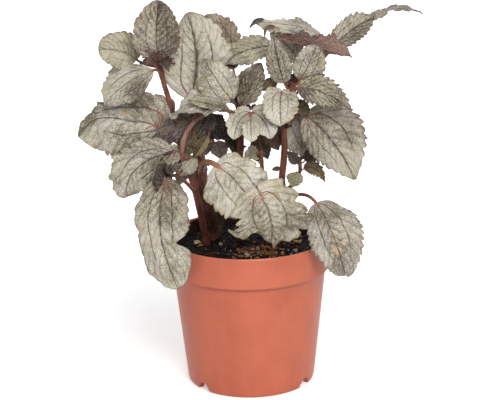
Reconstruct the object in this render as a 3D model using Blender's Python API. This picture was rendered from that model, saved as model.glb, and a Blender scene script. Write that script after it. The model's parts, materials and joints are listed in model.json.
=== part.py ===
"""Potted pilea in a 12 cm nursery pot, modelled at real size in metres, +Z up.

The origin is the centre of the pot's underside. -Y is the plant's show side.
"""

import math
import random

import bmesh
import bpy
from mathutils import Matrix, Vector, noise
from mathutils.bvhtree import BVHTree

MM = 0.001
GAP = 0.0003
WELD = 0.000001
SHARP_ANGLE = math.radians(40)

POT_HEIGHT = 0.110
POT_RIM_RADIUS = 0.060
POT_BAND_RADIUS = 0.0592
POT_SHOULDER_RADIUS = 0.056
POT_SHOULDER_HEIGHT = 0.085
POT_BAND_STEP = 0.0020
POT_FOOT_RADIUS = 0.047
POT_FOOT_ROUNDING = 0.0025
POT_WALL = 0.0020
POT_LIP_CHAMFER = 0.0012
POT_PAD_RADIUS = 0.018
POT_RING_RADIUS = 0.042
POT_CHANNEL_HEIGHT = 0.0045
POT_FLOOR_TOP = 0.0070
POT_SEGMENTS = 48

NOTCH_BEARINGS = (-49.0, 57.0, 131.0, 237.0)
NOTCH_WIDTH = 0.0115
NOTCH_HEIGHT = 0.0060
NOTCH_DEPTH = 0.014
NOTCH_SEGMENTS = 16
DRAIN_HOLES = 6
DRAIN_HOLE_RADIUS = 0.0035
DRAIN_HOLE_CIRCLE = 0.030
DRAIN_HOLE_SEGMENTS = 10

SOIL_LEVEL = 0.098
SOIL_EDGE_DROP = 0.0015
SOIL_LUMP_HEIGHT = 0.0012
SOIL_LUMP_SIZE = 0.011
SOIL_SEGMENTS = 32
SOIL_RINGS = (0.90, 0.72, 0.54, 0.36, 0.18)

STEM_SIDES = 12
STEM_STEPS_PER_SPAN = 3
STEM_ROOT_DEPTH = 0.020
SOCKET_ABOVE_SOIL = 0.006
SOCKET_FLARE = 1.15

RING_SIDES = 8
LEAF_THICKNESS = 0.0010
LEAF_STATIONS = (0.06, 0.20, 0.38, 0.57, 0.76, 0.91, 1.0)
LEAF_TIP_SHARE = 0.06
LEAF_FULLNESS = 0.55
LEAF_ROUNDNESS = 2.2
LEAF_WIDEST_SHIFT = 0.85
LEAF_EDGE_SHARE = 0.35
PETIOLE_STATIONS = (0.0, 0.35, 0.70)
PETIOLE_START_REACH = 0.35
LEAST_SLANT = 0.35

# Axis points from the soil upwards; the radius at the bottom, at the top (mm) and how late it tapers.
STEMS = {
    "stem_main_left": (
        [(-26, 27, 98), (-30, 19, 122), (-34, 11, 146), (-35, 8, 164), (-36, 6, 186), (-38, 5, 206)],
        (6.2, 1.9, 2.2),
    ),
    "stem_thin_left": (
        [
            (-31, 12, 98),
            (-35, 6, 124),
            (-40, 1, 150),
            (-47, 0, 174),
            (-53, 0, 203),
            (-59, 0, 226),
            (-62, 0, 240),
        ],
        (2.6, 1.7, 1.0),
    ),
    "stem_centre": (
        [(-6, 16, 98), (-7, 14, 132), (-5, 12, 168), (-4, 8, 190), (-6, 4, 210)],
        (2.8, 2.1, 1.0),
    ),
    "stem_thin_centre": (
        [(13, 12, 98), (12, 9, 134), (10, 6, 168), (8, 4, 190), (5, 2, 205)],
        (1.7, 1.3, 1.0),
    ),
    "stem_right": (
        [(24, 14, 98), (25, 8, 130), (25, 4, 150), (27, 2, 172), (27, 1, 196), (33, 0, 224)],
        (2.9, 2.1, 1.0),
    ),
}
SIDE_SHOOTS = {
    "side_shoot": ([(28.6, 2.5, 143), (35, 1, 149), (38, 0, 157), (38, 0, 166)], (1.5, 1.2, 1.0)),
    "arched_shoot": (
        [
            (-37, 2, 167),
            (-41, -5, 170),
            (-46, -11, 174),
            (-46, -14, 182),
            (-43, -14, 191),
            (-36, -14, 200),
            (-26, -13, 206),
        ],
        (2.6, 1.6, 1.0),
    ),
}

# Each leaf: the stem and the height it leaves it at, the base, middle and tip of its midrib, its width and
# how much of it leans to one half, the way its upper side faces, the fold of its halves in degrees, the
# petiole radius and the material (mm).
LEAVES = {
    "leaf_top_left": (
        ("stem_thin_left", 241.2),
        ((-62, -3, 246), (-62, -8, 264), (-60, -6, 285)),
        (33, 0), (0.05, -1, 0.2), 14, 1.2, "leaf_silver",
    ),
    "leaf_left_small": (
        ("stem_thin_left", 236),
        ((-78, 2, 242), (-88, 0, 248), (-104, 0, 250)),
        (26, 0), (-0.1, -1, 0.35), 10, 1.0, "leaf_olive",
    ),
    "leaf_left_folded": (
        ("stem_thin_left", 229),
        ((-66, -11, 236), (-87, -20, 227), (-100, -21, 213)),
        (29, 0), (-0.1, -1, 0.4), -30, 1.1, "leaf_silver",
    ),
    "leaf_left_big": (
        ("stem_thin_left", 190),
        ((-65, -5, 194), (-92, -9, 200), (-121, -7, 188)),
        (47, -0.14), (-0.1, -1, 0.3), 6, 1.5, "leaf_silver",
    ),
    "leaf_top_centre": (
        ("stem_main_left", 206.6),
        ((-38, 4, 214), (-35, 7, 245), (-43, 12, 273)),
        (50, 0), (0, -1, 0.2), 6, 1.5, "leaf_silver",
    ),
    "leaf_brown_edge": (
        ("stem_centre", 206),
        ((-9, 16, 231), (-14, 20, 251), (-23, 21, 265)),
        (20, 0), (0.3, -1, 0.2), 10, 0.9, "leaf_brown",
    ),
    "leaf_centre_light": (
        ("stem_centre", 207),
        ((-11, -3, 213), (-20, -7, 226), (-29, -8, 243)),
        (28, 0), (-0.1, -1, 0.2), 6, 1.1, "leaf_silver",
    ),
    "leaf_centre_edge_on": (
        ("stem_centre", 201),
        ((-12, -11, 206.5), (-32, -22, 214), (-54, -25, 205)),
        (24, 0), (0, -0.45, 1), -8, 1.0, "leaf_silver",
    ),
    "leaf_top_grooved": (
        ("stem_right", 213),
        ((20, 14, 247), (2, 11, 245), (-17, 8, 237)),
        (20, 0), (0, -1, 0.35), 6, 0.9, "leaf_silver",
    ),
    "leaf_centre_dark": (
        ("stem_centre", 209),
        ((-3, -3, 208), (4, -8, 223), (12, -7, 239)),
        (17, 0), (0.2, -1, 0.1), 10, 0.8, "leaf_dark",
    ),
    "leaf_top_curled": (
        ("stem_right", 219),
        ((56, 14, 250), (32, 13, 262), (6, 13, 265)),
        (16, 0), (0, -0.8, 0.6), -14, 0.9, "leaf_brown",
    ),
    "leaf_maroon_back": (
        ("stem_right", 216),
        ((30, -4, 253), (53, -5, 246), (76, -4, 239)),
        (20, 0), (0, 0.9, 0.5), 12, 0.8, "leaf_maroon",
    ),
    "leaf_right_round": (
        ("stem_right", 217),
        ((39, -8, 227), (45, -15, 240), (50, -16, 253)),
        (22, 0), (0.1, -1, 0.2), 8, 0.9, "leaf_silver",
    ),
    "leaf_right_upright": (
        ("stem_right", 217),
        ((27, -6, 225), (23, -11, 241), (20, -12, 259)),
        (17, 0), (0, -1, 0.1), 20, 0.9, "leaf_silver",
    ),
    "leaf_right_toothed": (
        ("stem_right", 211),
        ((37, -13, 222), (55, -21, 220), (73, -24, 208)),
        (21, 0), (0.05, -1, 0.45), 8, 1.1, "leaf_silver",
    ),
    "leaf_right_dark": (
        ("stem_right", 207),
        ((35, -5, 209), (40, -8, 206), (44, -9, 200)),
        (10, 0), (0, -1, 0.2), 6, 0.8, "leaf_dark",
    ),
    "leaf_far_right": (
        ("stem_right", 210),
        ((63, 5, 244), (75, 6, 257), (88, 6, 271)),
        (24, 0), (-0.2, -1, 0.3), 10, 0.9, "leaf_silver",
    ),
    "leaf_far_tail": (
        ("stem_right", 203),
        ((86, 22, 263), (108, 22, 272.5), (128, 18, 268)),
        (16, 0), (0, -0.15, 1), -6, 0.9, "leaf_brown",
    ),
    "leaf_low_left": (
        ("stem_thin_left", 178),
        ((-55, -16, 177), (-79, -25, 168), (-87, -29, 148)),
        (35, 0), (-0.15, -1, 0.2), 3, 1.3, "leaf_silver",
    ),
    "leaf_dark_curl": (
        ("stem_thin_left", 165),
        ((-54, -25, 168), (-58, -31, 175), (-54, -27, 183)),
        (17, 0), (0.1, -1, -0.2), 25, 0.8, "leaf_maroon",
    ),
    "leaf_purple_back": (
        ("stem_main_left", 193),
        ((-35, -5, 203), (-50, -8, 194), (-69, -13, 183)),
        (20, 0), (0.2, 1, 0.3), 6, 1.2, "leaf_maroon",
    ),
    "leaf_inner_dark": (
        ("stem_main_left", 198),
        ((-30, 11, 198), (-24, 13, 189), (-11, 11, 180)),
        (20, 0), (0, -1, 0), 6, 0.9, "leaf_dark",
    ),
    "leaf_inner_narrow": (
        ("stem_main_left", 171),
        ((-23, 2, 179), (-20, 3, 174), (-18, 2, 166)),
        (13, 0), (0, -1, 0), 6, 0.8, "leaf_dark",
    ),
    "leaf_green_stripe": (
        ("stem_main_left", 183),
        ((-30, -8, 187), (-34, -11, 180), (-39, -10, 169)),
        (15, 0), (0, -1, 0.3), 6, 0.7, "leaf_olive",
    ),
    "leaf_front_centre": (
        ("stem_main_left", 153),
        ((-19, -34, 170), (-1, -49, 157), (19, -51, 138)),
        (38, 0.2), (-0.1, -1, 0.4), 6, 1.9, "leaf_silver",
    ),
    "leaf_front_crinkled": (
        ("stem_right", 142),
        ((11, -33, 149), (15, -41, 134), (16, -42, 116)),
        (48, 0.0), (0.1, -1, 0.35), 3, 1.3, "leaf_silver",
    ),
    "leaf_cluster_left": (
        ("stem_centre", 205),
        ((1, -9, 203), (-6, -16, 198), (-9, -20, 187)),
        (16, 0), (-0.1, -1, 0.5), 10, 0.8, "leaf_silver",
    ),
    "leaf_cluster_middle": (
        ("stem_thin_centre", 197),
        ((4, -17, 200), (3, -26, 194), (3, -30, 185)),
        (12, 0), (0, -1, 0.5), 10, 0.8, "leaf_olive",
    ),
    "leaf_cluster_right": (
        ("stem_thin_centre", 202),
        ((7, -8, 203), (15, -15, 200), (19, -20, 186)),
        (17, 0), (0.1, -1, 0.5), 10, 0.8, "leaf_silver",
    ),
    "leaf_over_stem": (
        ("stem_right", 208),
        ((25, -10, 217), (24, -20, 209), (24, -23, 195)),
        (26, 0), (0, -1, 0.5), 8, 1.0, "leaf_silver",
    ),
    "leaf_right_big": (
        ("stem_right", 192),
        ((45, -4, 198), (63, -10, 179), (77, -10, 153)),
        (43, -0.1), (0.1, -1, 0.3), 8, 1.5, "leaf_silver",
    ),
    "leaf_right_behind": (
        ("stem_right", 190),
        ((35, 13, 197), (43, 15, 181), (50, 14, 160)),
        (34, 0), (0, -1, 0.1), 6, 0.9, "leaf_silver",
    ),
    "leaf_shoot_dark": (
        ("side_shoot", 164),
        ((36, -4, 164), (33, -6, 169), (29, -6, 174)),
        (11, 0), (0, -1, 0.2), 10, 0.6, "leaf_dark",
    ),
    "leaf_shoot_yellow": (
        ("side_shoot", 163),
        ((42, 0, 165), (46, 0, 169), (51, 0, 173)),
        (9, 0), (0, -1, 0.3), 8, 0.6, "leaf_olive",
    ),
    "leaf_shoot_brown": (
        ("side_shoot", 157),
        ((41, -4, 160), (48, -6, 158), (56, -6, 150)),
        (14, 0), (0, -1, 0.4), 8, 0.6, "leaf_brown",
    ),
    "leaf_shoot_green": (
        ("side_shoot", 154),
        ((35, -4, 157), (34, -6, 153), (32, -6, 147)),
        (12, 0), (0, -1, 0.3), 8, 0.6, "leaf_olive",
    ),
    "leaf_back_dark": (
        ("stem_thin_centre", 186),
        ((6, 12, 180), (11, 14, 174), (15, 13, 163)),
        (13, 0), (0, -1, 0), 6, 0.7, "leaf_dark",
    ),
    "leaf_hanging_left": (
        ("stem_thin_left", 142),
        ((-56, -36, 161), (-62, -50, 127), (-51, -56, 89)),
        (40, -0.12), (-0.3, -1, 0.2), 6, 1.3, "leaf_silver",
    ),
    "leaf_hanging_right": (
        ("stem_right", 134),
        ((49, -30, 141), (60, -46, 122), (68, -48, 93)),
        (39, -0.08), (0.25, -1, 0.2), 6, 1.3, "leaf_silver",
    ),
    "leaf_small_yellow": (
        ("stem_thin_centre", 162),
        ((8, 0, 165), (7, -3, 170), (6, -4, 175)),
        (5, 0), (0, -1, 0.2), 6, 0.5, "leaf_olive",
    ),
    "leaf_dead_hanging": (
        ("stem_main_left", 138),
        ((-23, 6, 141), (-21, 4, 127), (-19, 3, 112)),
        (9, 0), (0.1, -1, 0), 20, 0.7, "leaf_maroon",
    ),
    "leaf_dark_inner_right": (
        ("stem_right", 185),
        ((24, 9, 189), (24, 11, 181), (22, 10, 172)),
        (8, 0), (0, -1, 0), 6, 0.6, "leaf_dark",
    ),
    "leaf_small_tan": (
        ("stem_main_left", 155),
        ((-44, 7, 159), (-48, 6, 154), (-50, 4, 147)),
        (10, 0), (0, -1, 0.4), 8, 0.6, "leaf_brown",
    ),
}

# Loose pieces on the soil: place (mm), length, width and height (mm), turn in degrees and material.
LITTER = {
    "bark_chip_large": ((15, -16), (11, 6, 3.5), 20, "bark_orange"),
    "bark_chip_left": ((-7, -2), (7, 5, 3), -30, "bark_orange"),
    "bark_chip_tan": ((-38, 18), (10, 5, 3), 60, "bark_tan"),
    "bark_chip_back": ((36, 12), (8, 5, 3), 10, "bark_tan"),
    "perlite_left": ((-2, -16), (5, 4, 3), 0, "perlite_white"),
    "perlite_middle": ((6, -3), (4, 4, 3), 40, "perlite_white"),
    "perlite_right": ((34, -8), (5, 4, 3.5), 75, "perlite_white"),
}
LITTER_SEED = 7
LITTER_ROUGHNESS = 0.22

# Base colour, roughness and metallic value.
LOOKS = {
    "pot_terracotta_plastic": ((0.62, 0.20, 0.125), 0.45, 0.0),
    "potting_soil": ((0.030, 0.020, 0.015), 0.95, 0.0),
    "stem_red_brown": ((0.24, 0.065, 0.040), 0.50, 0.0),
    "stem_dark": ((0.075, 0.030, 0.024), 0.60, 0.0),
    "leaf_silver": ((0.42, 0.39, 0.31), 0.42, 0.0),
    "leaf_olive": ((0.38, 0.36, 0.17), 0.45, 0.0),
    "leaf_brown": ((0.26, 0.17, 0.11), 0.55, 0.0),
    "leaf_maroon": ((0.14, 0.055, 0.050), 0.50, 0.0),
    "leaf_dark": ((0.075, 0.055, 0.035), 0.50, 0.0),
    "bark_orange": ((0.52, 0.20, 0.06), 0.85, 0.0),
    "bark_tan": ((0.40, 0.26, 0.14), 0.85, 0.0),
    "perlite_white": ((0.80, 0.78, 0.72), 0.90, 0.0),
}
STEM_LOOKS = {"stem_main_left": "stem_dark"}


def clear_scene():
    for thing in list(bpy.data.objects):
        bpy.data.objects.remove(thing, do_unlink=True)


def material(name):
    """The named material, made on first use from its row in LOOKS."""
    found = bpy.data.materials.get(name)
    if found:
        return found
    colour, roughness, metallic = LOOKS[name]
    made = bpy.data.materials.new(name)
    made.use_nodes = True
    shader = made.node_tree.nodes["Principled BSDF"]
    shader.inputs["Base Color"].default_value = (*colour, 1.0)
    shader.inputs["Roughness"].default_value = roughness
    shader.inputs["Metallic"].default_value = metallic
    return made


def finish(name, shape, look, parent):
    """Turn a bmesh into a smooth-shaded object of its own."""
    bmesh.ops.recalc_face_normals(shape, faces=shape.faces)
    mesh = bpy.data.meshes.new(name)
    shape.to_mesh(mesh)
    shape.free()
    mesh.shade_smooth()
    mesh.set_sharp_from_angle(angle=SHARP_ANGLE)
    mesh.materials.append(material(look))
    made = bpy.data.objects.new(name, mesh)
    bpy.context.scene.collection.objects.link(made)
    made.parent = parent
    return made


def turned(profile, segments):
    """A closed solid spun about +Z from (radius, height) points that run down its outer side."""
    shape = bmesh.new()
    row = [shape.verts.new((radius, 0.0, height)) for radius, height in profile]
    edges = [shape.edges.new(pair) for pair in zip(row, row[1:])]
    bmesh.ops.spin(
        shape,
        geom=row + edges,
        cent=(0, 0, 0),
        axis=(0, 0, 1),
        angle=2 * math.pi,
        steps=segments,
        use_merge=True,
    )
    bmesh.ops.remove_doubles(shape, verts=shape.verts, dist=WELD)
    return shape


def cutter(name, shape, parent):
    made = finish(name, shape, "potting_soil", parent)
    made.hide_render = True
    made.display_type = "WIRE"
    return made


def cut(target, tool):
    boolean = target.modifiers.new(tool.name, "BOOLEAN")
    boolean.operation = "DIFFERENCE"
    boolean.solver = "EXACT"
    boolean.object = tool


def pot_profile():
    """Half of the pot's section, from the floor's middle inside, over the rim and back under the foot."""
    inner_foot = POT_FOOT_RADIUS - POT_WALL
    inner_shoulder = POT_SHOULDER_RADIUS - POT_WALL
    inner_band = POT_BAND_RADIUS - POT_WALL
    inner_rim = POT_RIM_RADIUS - POT_WALL
    return [
        (0.0, POT_FLOOR_TOP),
        (inner_foot, POT_FLOOR_TOP),
        (inner_shoulder, POT_SHOULDER_HEIGHT),
        (inner_band, POT_SHOULDER_HEIGHT + POT_BAND_STEP + POT_WALL),
        (inner_rim, POT_HEIGHT - POT_LIP_CHAMFER / 2),
        (inner_rim + POT_LIP_CHAMFER / 2, POT_HEIGHT),
        (POT_RIM_RADIUS - POT_LIP_CHAMFER / 2, POT_HEIGHT),
        (POT_RIM_RADIUS, POT_HEIGHT - POT_LIP_CHAMFER),
        (POT_BAND_RADIUS, POT_SHOULDER_HEIGHT + POT_BAND_STEP),
        (POT_SHOULDER_RADIUS, POT_SHOULDER_HEIGHT),
        (POT_FOOT_RADIUS, POT_FOOT_ROUNDING),
        (POT_FOOT_RADIUS - POT_FOOT_ROUNDING, 0.0),
        (POT_RING_RADIUS, 0.0),
        (POT_RING_RADIUS, POT_CHANNEL_HEIGHT),
        (POT_PAD_RADIUS, POT_CHANNEL_HEIGHT),
        (POT_PAD_RADIUS, 0.0),
        (0.0, 0.0),
    ]


def notch_cutter(index, bearing, parent):
    """An arch-ended bar that opens the foot ring at the given bearing from the front."""
    shape = bmesh.new()
    bmesh.ops.create_cone(
        shape,
        cap_ends=True,
        segments=NOTCH_SEGMENTS,
        radius1=1.0,
        radius2=1.0,
        depth=NOTCH_DEPTH,
    )
    flat = Matrix.Diagonal((NOTCH_WIDTH / 2, NOTCH_HEIGHT, 1.0, 1.0))
    lying = Matrix.Rotation(math.radians(90), 4, "X")
    out = Matrix.Translation((0, -POT_FOOT_RADIUS, 0))
    around = Matrix.Rotation(math.radians(bearing), 4, "Z")
    bmesh.ops.transform(shape, matrix=around @ out @ lying @ flat, verts=shape.verts)
    return cutter(f"notch_cutter_{index}", shape, parent)


def drain_cutter(index, parent):
    shape = bmesh.new()
    bearing = 2 * math.pi * index / DRAIN_HOLES
    bmesh.ops.create_cone(
        shape,
        cap_ends=True,
        segments=DRAIN_HOLE_SEGMENTS,
        radius1=DRAIN_HOLE_RADIUS,
        radius2=DRAIN_HOLE_RADIUS,
        depth=2 * POT_FLOOR_TOP,
        matrix=Matrix.Translation(
            (
                DRAIN_HOLE_CIRCLE * math.cos(bearing),
                DRAIN_HOLE_CIRCLE * math.sin(bearing),
                POT_FLOOR_TOP,
            )
        ),
    )
    return cutter(f"drain_cutter_{index}", shape, parent)


def make_pot(parent):
    pot = finish("pot", turned(pot_profile(), POT_SEGMENTS), "pot_terracotta_plastic", parent)
    for index, bearing in enumerate(NOTCH_BEARINGS):
        cut(pot, notch_cutter(index, bearing, parent))
    for index in range(DRAIN_HOLES):
        cut(pot, drain_cutter(index, parent))
    return pot


def soil_profile():
    inner_foot = POT_FOOT_RADIUS - POT_WALL - GAP
    inner_shoulder = POT_SHOULDER_RADIUS - POT_WALL - GAP
    inner_band = POT_BAND_RADIUS - POT_WALL - GAP
    bottom = POT_FLOOR_TOP + GAP
    edge = SOIL_LEVEL - SOIL_EDGE_DROP
    rings = [(inner_band * share, edge) for share in reversed(SOIL_RINGS)]
    return [
        (0.0, edge),
        *rings,
        (inner_band, edge),
        (inner_band, POT_SHOULDER_HEIGHT + POT_BAND_STEP + POT_WALL),
        (inner_shoulder, POT_SHOULDER_HEIGHT),
        (inner_foot, bottom),
        (0.0, bottom),
    ]


def make_soil(parent):
    """The soil plug, with a gently lumpy top that is lowest against the pot."""
    shape = turned(soil_profile(), SOIL_SEGMENTS)
    full = POT_BAND_RADIUS - POT_WALL - GAP
    top = SOIL_LEVEL - SOIL_EDGE_DROP - WELD
    for vert in shape.verts:
        share = min(vert.co.xy.length / full, 1.0)
        if vert.co.z > top and share < SOIL_RINGS[0] + WELD:
            lump = noise.noise(vert.co / SOIL_LUMP_SIZE)
            vert.co.z += SOIL_EDGE_DROP * (1 - share**2) + SOIL_LUMP_HEIGHT * lump
    return finish("potting_soil", shape, "potting_soil", parent)


def bezier(points, share):
    """A point of the Bezier curve with these control points."""
    row = list(points)
    while len(row) > 1:
        row = [near.lerp(far, share) for near, far in zip(row, row[1:])]
    return row[0]


def heading(points, share):
    """The unit tangent of the Bezier curve with these control points."""
    steps = [far - near for near, far in zip(points, points[1:])]
    return bezier(steps, share).normalized()


def smooth_path(points):
    """Points along a Catmull-Rom curve through the given ones."""
    ends = [2 * points[0] - points[1], *points, 2 * points[-1] - points[-2]]
    path = []
    for index in range(1, len(ends) - 2):
        before, start, stop, after = ends[index - 1 : index + 3]
        for step in range(STEM_STEPS_PER_SPAN):
            share = step / STEM_STEPS_PER_SPAN
            near = (stop - before) / 6
            far = (after - start) / 6
            path.append(bezier((start, start + near, stop - far, stop), share))
    path.append(points[-1])
    return path


def first_ring(shape, sides):
    made = bmesh.ops.create_circle(shape, cap_ends=True, segments=sides, radius=1.0)
    return made["verts"]


def next_ring(shape, ring):
    """Extrude the ring's edges and give the new ring in the same order."""
    edges = [shape.edges.get((near, far)) for near, far in zip(ring, ring[1:] + ring[:1])]
    made = bmesh.ops.extrude_edge_only(shape, edges=edges)["geom"]
    inside = set(ring)
    partner = {}
    for vert in made:
        if isinstance(vert, bmesh.types.BMVert):
            for edge in vert.link_edges:
                other = edge.other_vert(vert)
                if other in inside:
                    partner[other] = vert
    return [partner[vert] for vert in ring]


def sweep(rings):
    """A closed body through rings of points, capped at both ends."""
    shape = bmesh.new()
    row = first_ring(shape, len(rings[0]))
    for index, points in enumerate(rings):
        if index:
            row = next_ring(shape, row)
        for vert, point in zip(row, points):
            vert.co = point
    shape.faces.new(row)
    return shape


def round_ring(centre, along, side, radius, sides):
    up = side.cross(along).normalized()
    ring = []
    for index in range(sides):
        turn = math.pi - 2 * math.pi * index / sides
        ring.append(centre + radius * (math.cos(turn) * side + math.sin(turn) * up))
    return ring


def stem_axis(points, root_depth):
    """The stem's axis in metres, run straight down into the soil by the root depth."""
    path = smooth_path([Vector(point) * MM for point in points])
    if root_depth:
        path.insert(0, path[0] - Vector((0, 0, root_depth)))
    return path


def stem_radii(count, low, high, taper):
    return [(low + (high - low) * (index / (count - 1)) ** taper) * MM for index in range(count)]


def make_stem(name, row, root_depth, parent):
    points, girth = row
    axis = stem_axis(points, root_depth)
    radii = stem_radii(len(axis), *girth)
    rings = []
    for index, (centre, radius) in enumerate(zip(axis, radii)):
        ahead = axis[min(index + 1, len(axis) - 1)]
        behind = axis[max(index - 1, 0)]
        along = (ahead - behind).normalized()
        if root_depth and index < 2:
            along = Vector((0, 0, 1))
        side = Vector((1, 0, 0))
        side = (side - side.dot(along) * along).normalized()
        rings.append(round_ring(centre, along, side, radius, STEM_SIDES))
    look = STEM_LOOKS.get(name, "stem_red_brown")
    return finish(name, sweep(rings), look, parent)


def cut_socket(soil, name, row, parent):
    """Open the soil around one stem's buried end."""
    points, (low, _, _) = row
    foot = Vector(points[0]) * MM
    second = Vector(points[1]) * MM
    lean = (second - foot).normalized()
    radius = low * MM + GAP
    flared = radius * SOCKET_FLARE
    bottom = foot - Vector((0, 0, STEM_ROOT_DEPTH + GAP))
    top = foot + lean * SOCKET_ABOVE_SOIL
    rings = [
        round_ring(bottom, Vector((0, 0, 1)), Vector((1, 0, 0)), radius, STEM_SIDES),
        round_ring(foot, Vector((0, 0, 1)), Vector((1, 0, 0)), radius, STEM_SIDES),
        round_ring(top, Vector((0, 0, 1)), Vector((1, 0, 0)), flared, STEM_SIDES),
    ]
    cut(soil, cutter(f"socket_{name}", sweep(rings), parent))


def stem_at(row, height):
    """The axis point, direction and radius of a stem at a height; the radius is 0 past its top."""
    points, girth = row
    axis = stem_axis(points, 0.0)
    radii = stem_radii(len(axis), *girth)
    for index in range(len(axis) - 1):
        near, far = axis[index], axis[index + 1]
        if far.z >= height or index == len(axis) - 2:
            share = (height - near.z) / (far.z - near.z)
            along = (far - near).normalized()
            radius = 0.0 if share > 1 else radii[index] + share * (radii[index + 1] - radii[index])
            return near.lerp(far, share), along, radius


def petiole_controls(stem_row, height, base, blade_along, radius):
    """Bezier controls of a petiole that starts clear of the stem's skin and runs into the blade."""
    root, along, stem_radius = stem_at(stem_row, height)
    length = (base - root).length
    arrival = base - blade_along * length * PETIOLE_START_REACH
    way = (arrival - root).normalized()
    start = root
    if stem_radius:
        slant = max(way.cross(along).length, LEAST_SLANT)
        lean = abs(way.dot(along))
        start = root + way * (stem_radius + GAP + radius * lean) / slant
    return start, start.lerp(arrival, 0.5), arrival, base


def blade_half_width(share, width):
    """Half the blade's width at a share of its length from base to tip."""
    if share >= 1.0:
        return width * LEAF_TIP_SHARE / 2
    shifted = share**LEAF_WIDEST_SHIFT
    bulge = 1 - abs(2 * shifted - 1) ** LEAF_ROUNDNESS
    return width / 2 * bulge**LEAF_FULLNESS


def blade_ring(centre, side, up, half_widths, fold, thickness):
    """Five points across the upper skin and three back along the lower one."""
    ring = []
    for across in (-1.0, -0.5, 0.0, 0.5, 1.0):
        half = half_widths[across > 0]
        rise = abs(across) * math.sin(fold)
        ring.append(centre + half * (across * math.cos(fold) * side + rise * up))
    for across in (0.5, 0.0, -0.5):
        half = half_widths[across > 0]
        rise = abs(across) * math.sin(fold)
        skin = centre + half * (across * math.cos(fold) * side + rise * up)
        ring.append(skin - thickness * (1 - LEAF_EDGE_SHARE * abs(across)) * up)
    return ring


def make_leaf(name, row, stems, parent):
    """One leaf: a round petiole that flattens into a folded blade."""
    (stem, height), (base, middle, tip), (width, lean), face, fold, radius, look = row
    base, middle, tip = (Vector(point) * MM for point in (base, middle, tip))
    radius *= MM
    midrib = (base, 2 * middle - (base + tip) / 2, tip)
    face = Vector(face)
    fold = math.radians(fold)
    start_along = heading(midrib, 0.0)
    side = start_along.cross(face).normalized()
    petiole = petiole_controls(stems[stem], height * MM, base, start_along, radius)
    rings = [round_ring(base, start_along, side, radius, RING_SIDES)]
    ahead = start_along
    for share in reversed(PETIOLE_STATIONS):
        along = heading(petiole, share)
        side = ahead.rotation_difference(along) @ side
        rings.insert(0, round_ring(bezier(petiole, share), along, side, radius, RING_SIDES))
        ahead = along
    for share in LEAF_STATIONS:
        along = heading(midrib, share)
        across = along.cross(face).normalized()
        up = across.cross(along).normalized()
        half = blade_half_width(share, width * MM)
        halves = (half * (1 - lean), half * (1 + lean))
        centre = bezier(midrib, share)
        rings.append(blade_ring(centre, across, up, halves, fold, LEAF_THICKNESS))
    return finish(name, sweep(rings), look, parent)


def drop_height(chip, ground):
    """How far the chip's corners stand above the ground below them."""
    down = Vector((0, 0, -1))
    heights = [ground.ray_cast(vert.co, down)[3] for vert in chip.verts]
    return min(height for height in heights if height is not None)


def make_litter(name, row, ground, dice, parent):
    """A rough loose lump that lies on the soil."""
    (x, y), (length, width, height), turn, look = row
    shape = bmesh.new()
    bmesh.ops.create_icosphere(shape, subdivisions=1, radius=0.5)
    for vert in shape.verts:
        vert.co *= 1 + LITTER_ROUGHNESS * dice.uniform(-1, 1)
    size = Matrix.Diagonal((length * MM, width * MM, height * MM, 1.0))
    turned_by = Matrix.Rotation(math.radians(turn), 4, "Z")
    above = Matrix.Translation((x * MM, y * MM, POT_HEIGHT + height * MM))
    bmesh.ops.transform(shape, matrix=above @ turned_by @ size, verts=shape.verts)
    fall = drop_height(shape, ground) - SOIL_LUMP_HEIGHT / 2
    bmesh.ops.translate(shape, vec=(0, 0, -fall), verts=shape.verts)
    return finish(name, shape, look, parent)


def surface(thing):
    shape = bmesh.new()
    shape.from_mesh(thing.data)
    ground = BVHTree.FromBMesh(shape)
    shape.free()
    return ground


def main():
    clear_scene()
    root = bpy.data.objects.new("potted_pilea", None)
    bpy.context.scene.collection.objects.link(root)
    make_pot(root)
    soil = make_soil(root)
    ground = surface(soil)
    stems = {**STEMS, **SIDE_SHOOTS}
    for name, row in STEMS.items():
        make_stem(name, row, STEM_ROOT_DEPTH, root)
        cut_socket(soil, name, row, root)
    for name, row in SIDE_SHOOTS.items():
        make_stem(name, row, 0.0, root)
    for name, row in LEAVES.items():
        make_leaf(name, row, stems, root)
    dice = random.Random(LITTER_SEED)
    for name, row in LITTER.items():
        make_litter(name, row, ground, dice, root)


main()
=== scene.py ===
import json
import math
import random

import bmesh
import bpy
from mathutils import Matrix, Vector, noise


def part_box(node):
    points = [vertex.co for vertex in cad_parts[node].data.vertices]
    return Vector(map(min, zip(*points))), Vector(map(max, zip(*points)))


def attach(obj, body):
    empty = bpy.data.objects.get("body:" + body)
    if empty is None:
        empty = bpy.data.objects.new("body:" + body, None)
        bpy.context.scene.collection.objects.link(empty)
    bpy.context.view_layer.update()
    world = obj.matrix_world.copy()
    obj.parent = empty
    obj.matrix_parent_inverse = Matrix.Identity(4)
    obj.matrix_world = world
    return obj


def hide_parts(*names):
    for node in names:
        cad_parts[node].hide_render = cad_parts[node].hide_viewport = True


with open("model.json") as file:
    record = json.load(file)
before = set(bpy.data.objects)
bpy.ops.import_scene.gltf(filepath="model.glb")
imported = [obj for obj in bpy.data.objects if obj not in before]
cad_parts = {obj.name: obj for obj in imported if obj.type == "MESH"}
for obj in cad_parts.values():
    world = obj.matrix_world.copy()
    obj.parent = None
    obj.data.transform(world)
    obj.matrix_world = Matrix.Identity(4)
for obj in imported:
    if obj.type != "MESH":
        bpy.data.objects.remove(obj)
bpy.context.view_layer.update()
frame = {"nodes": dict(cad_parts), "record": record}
print("frame loaded:", len(frame["nodes"]), "nodes")

mm = 0.001
slotOf = {row["node"]: row["material_slot"] for row in frame["record"]["subparts"]}


def putInScene(name, data, materials=()):
    thing = bpy.data.objects.new(name, data)
    bpy.context.scene.collection.objects.link(thing)
    for material in materials:
        data.materials.append(material)
    return thing


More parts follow.
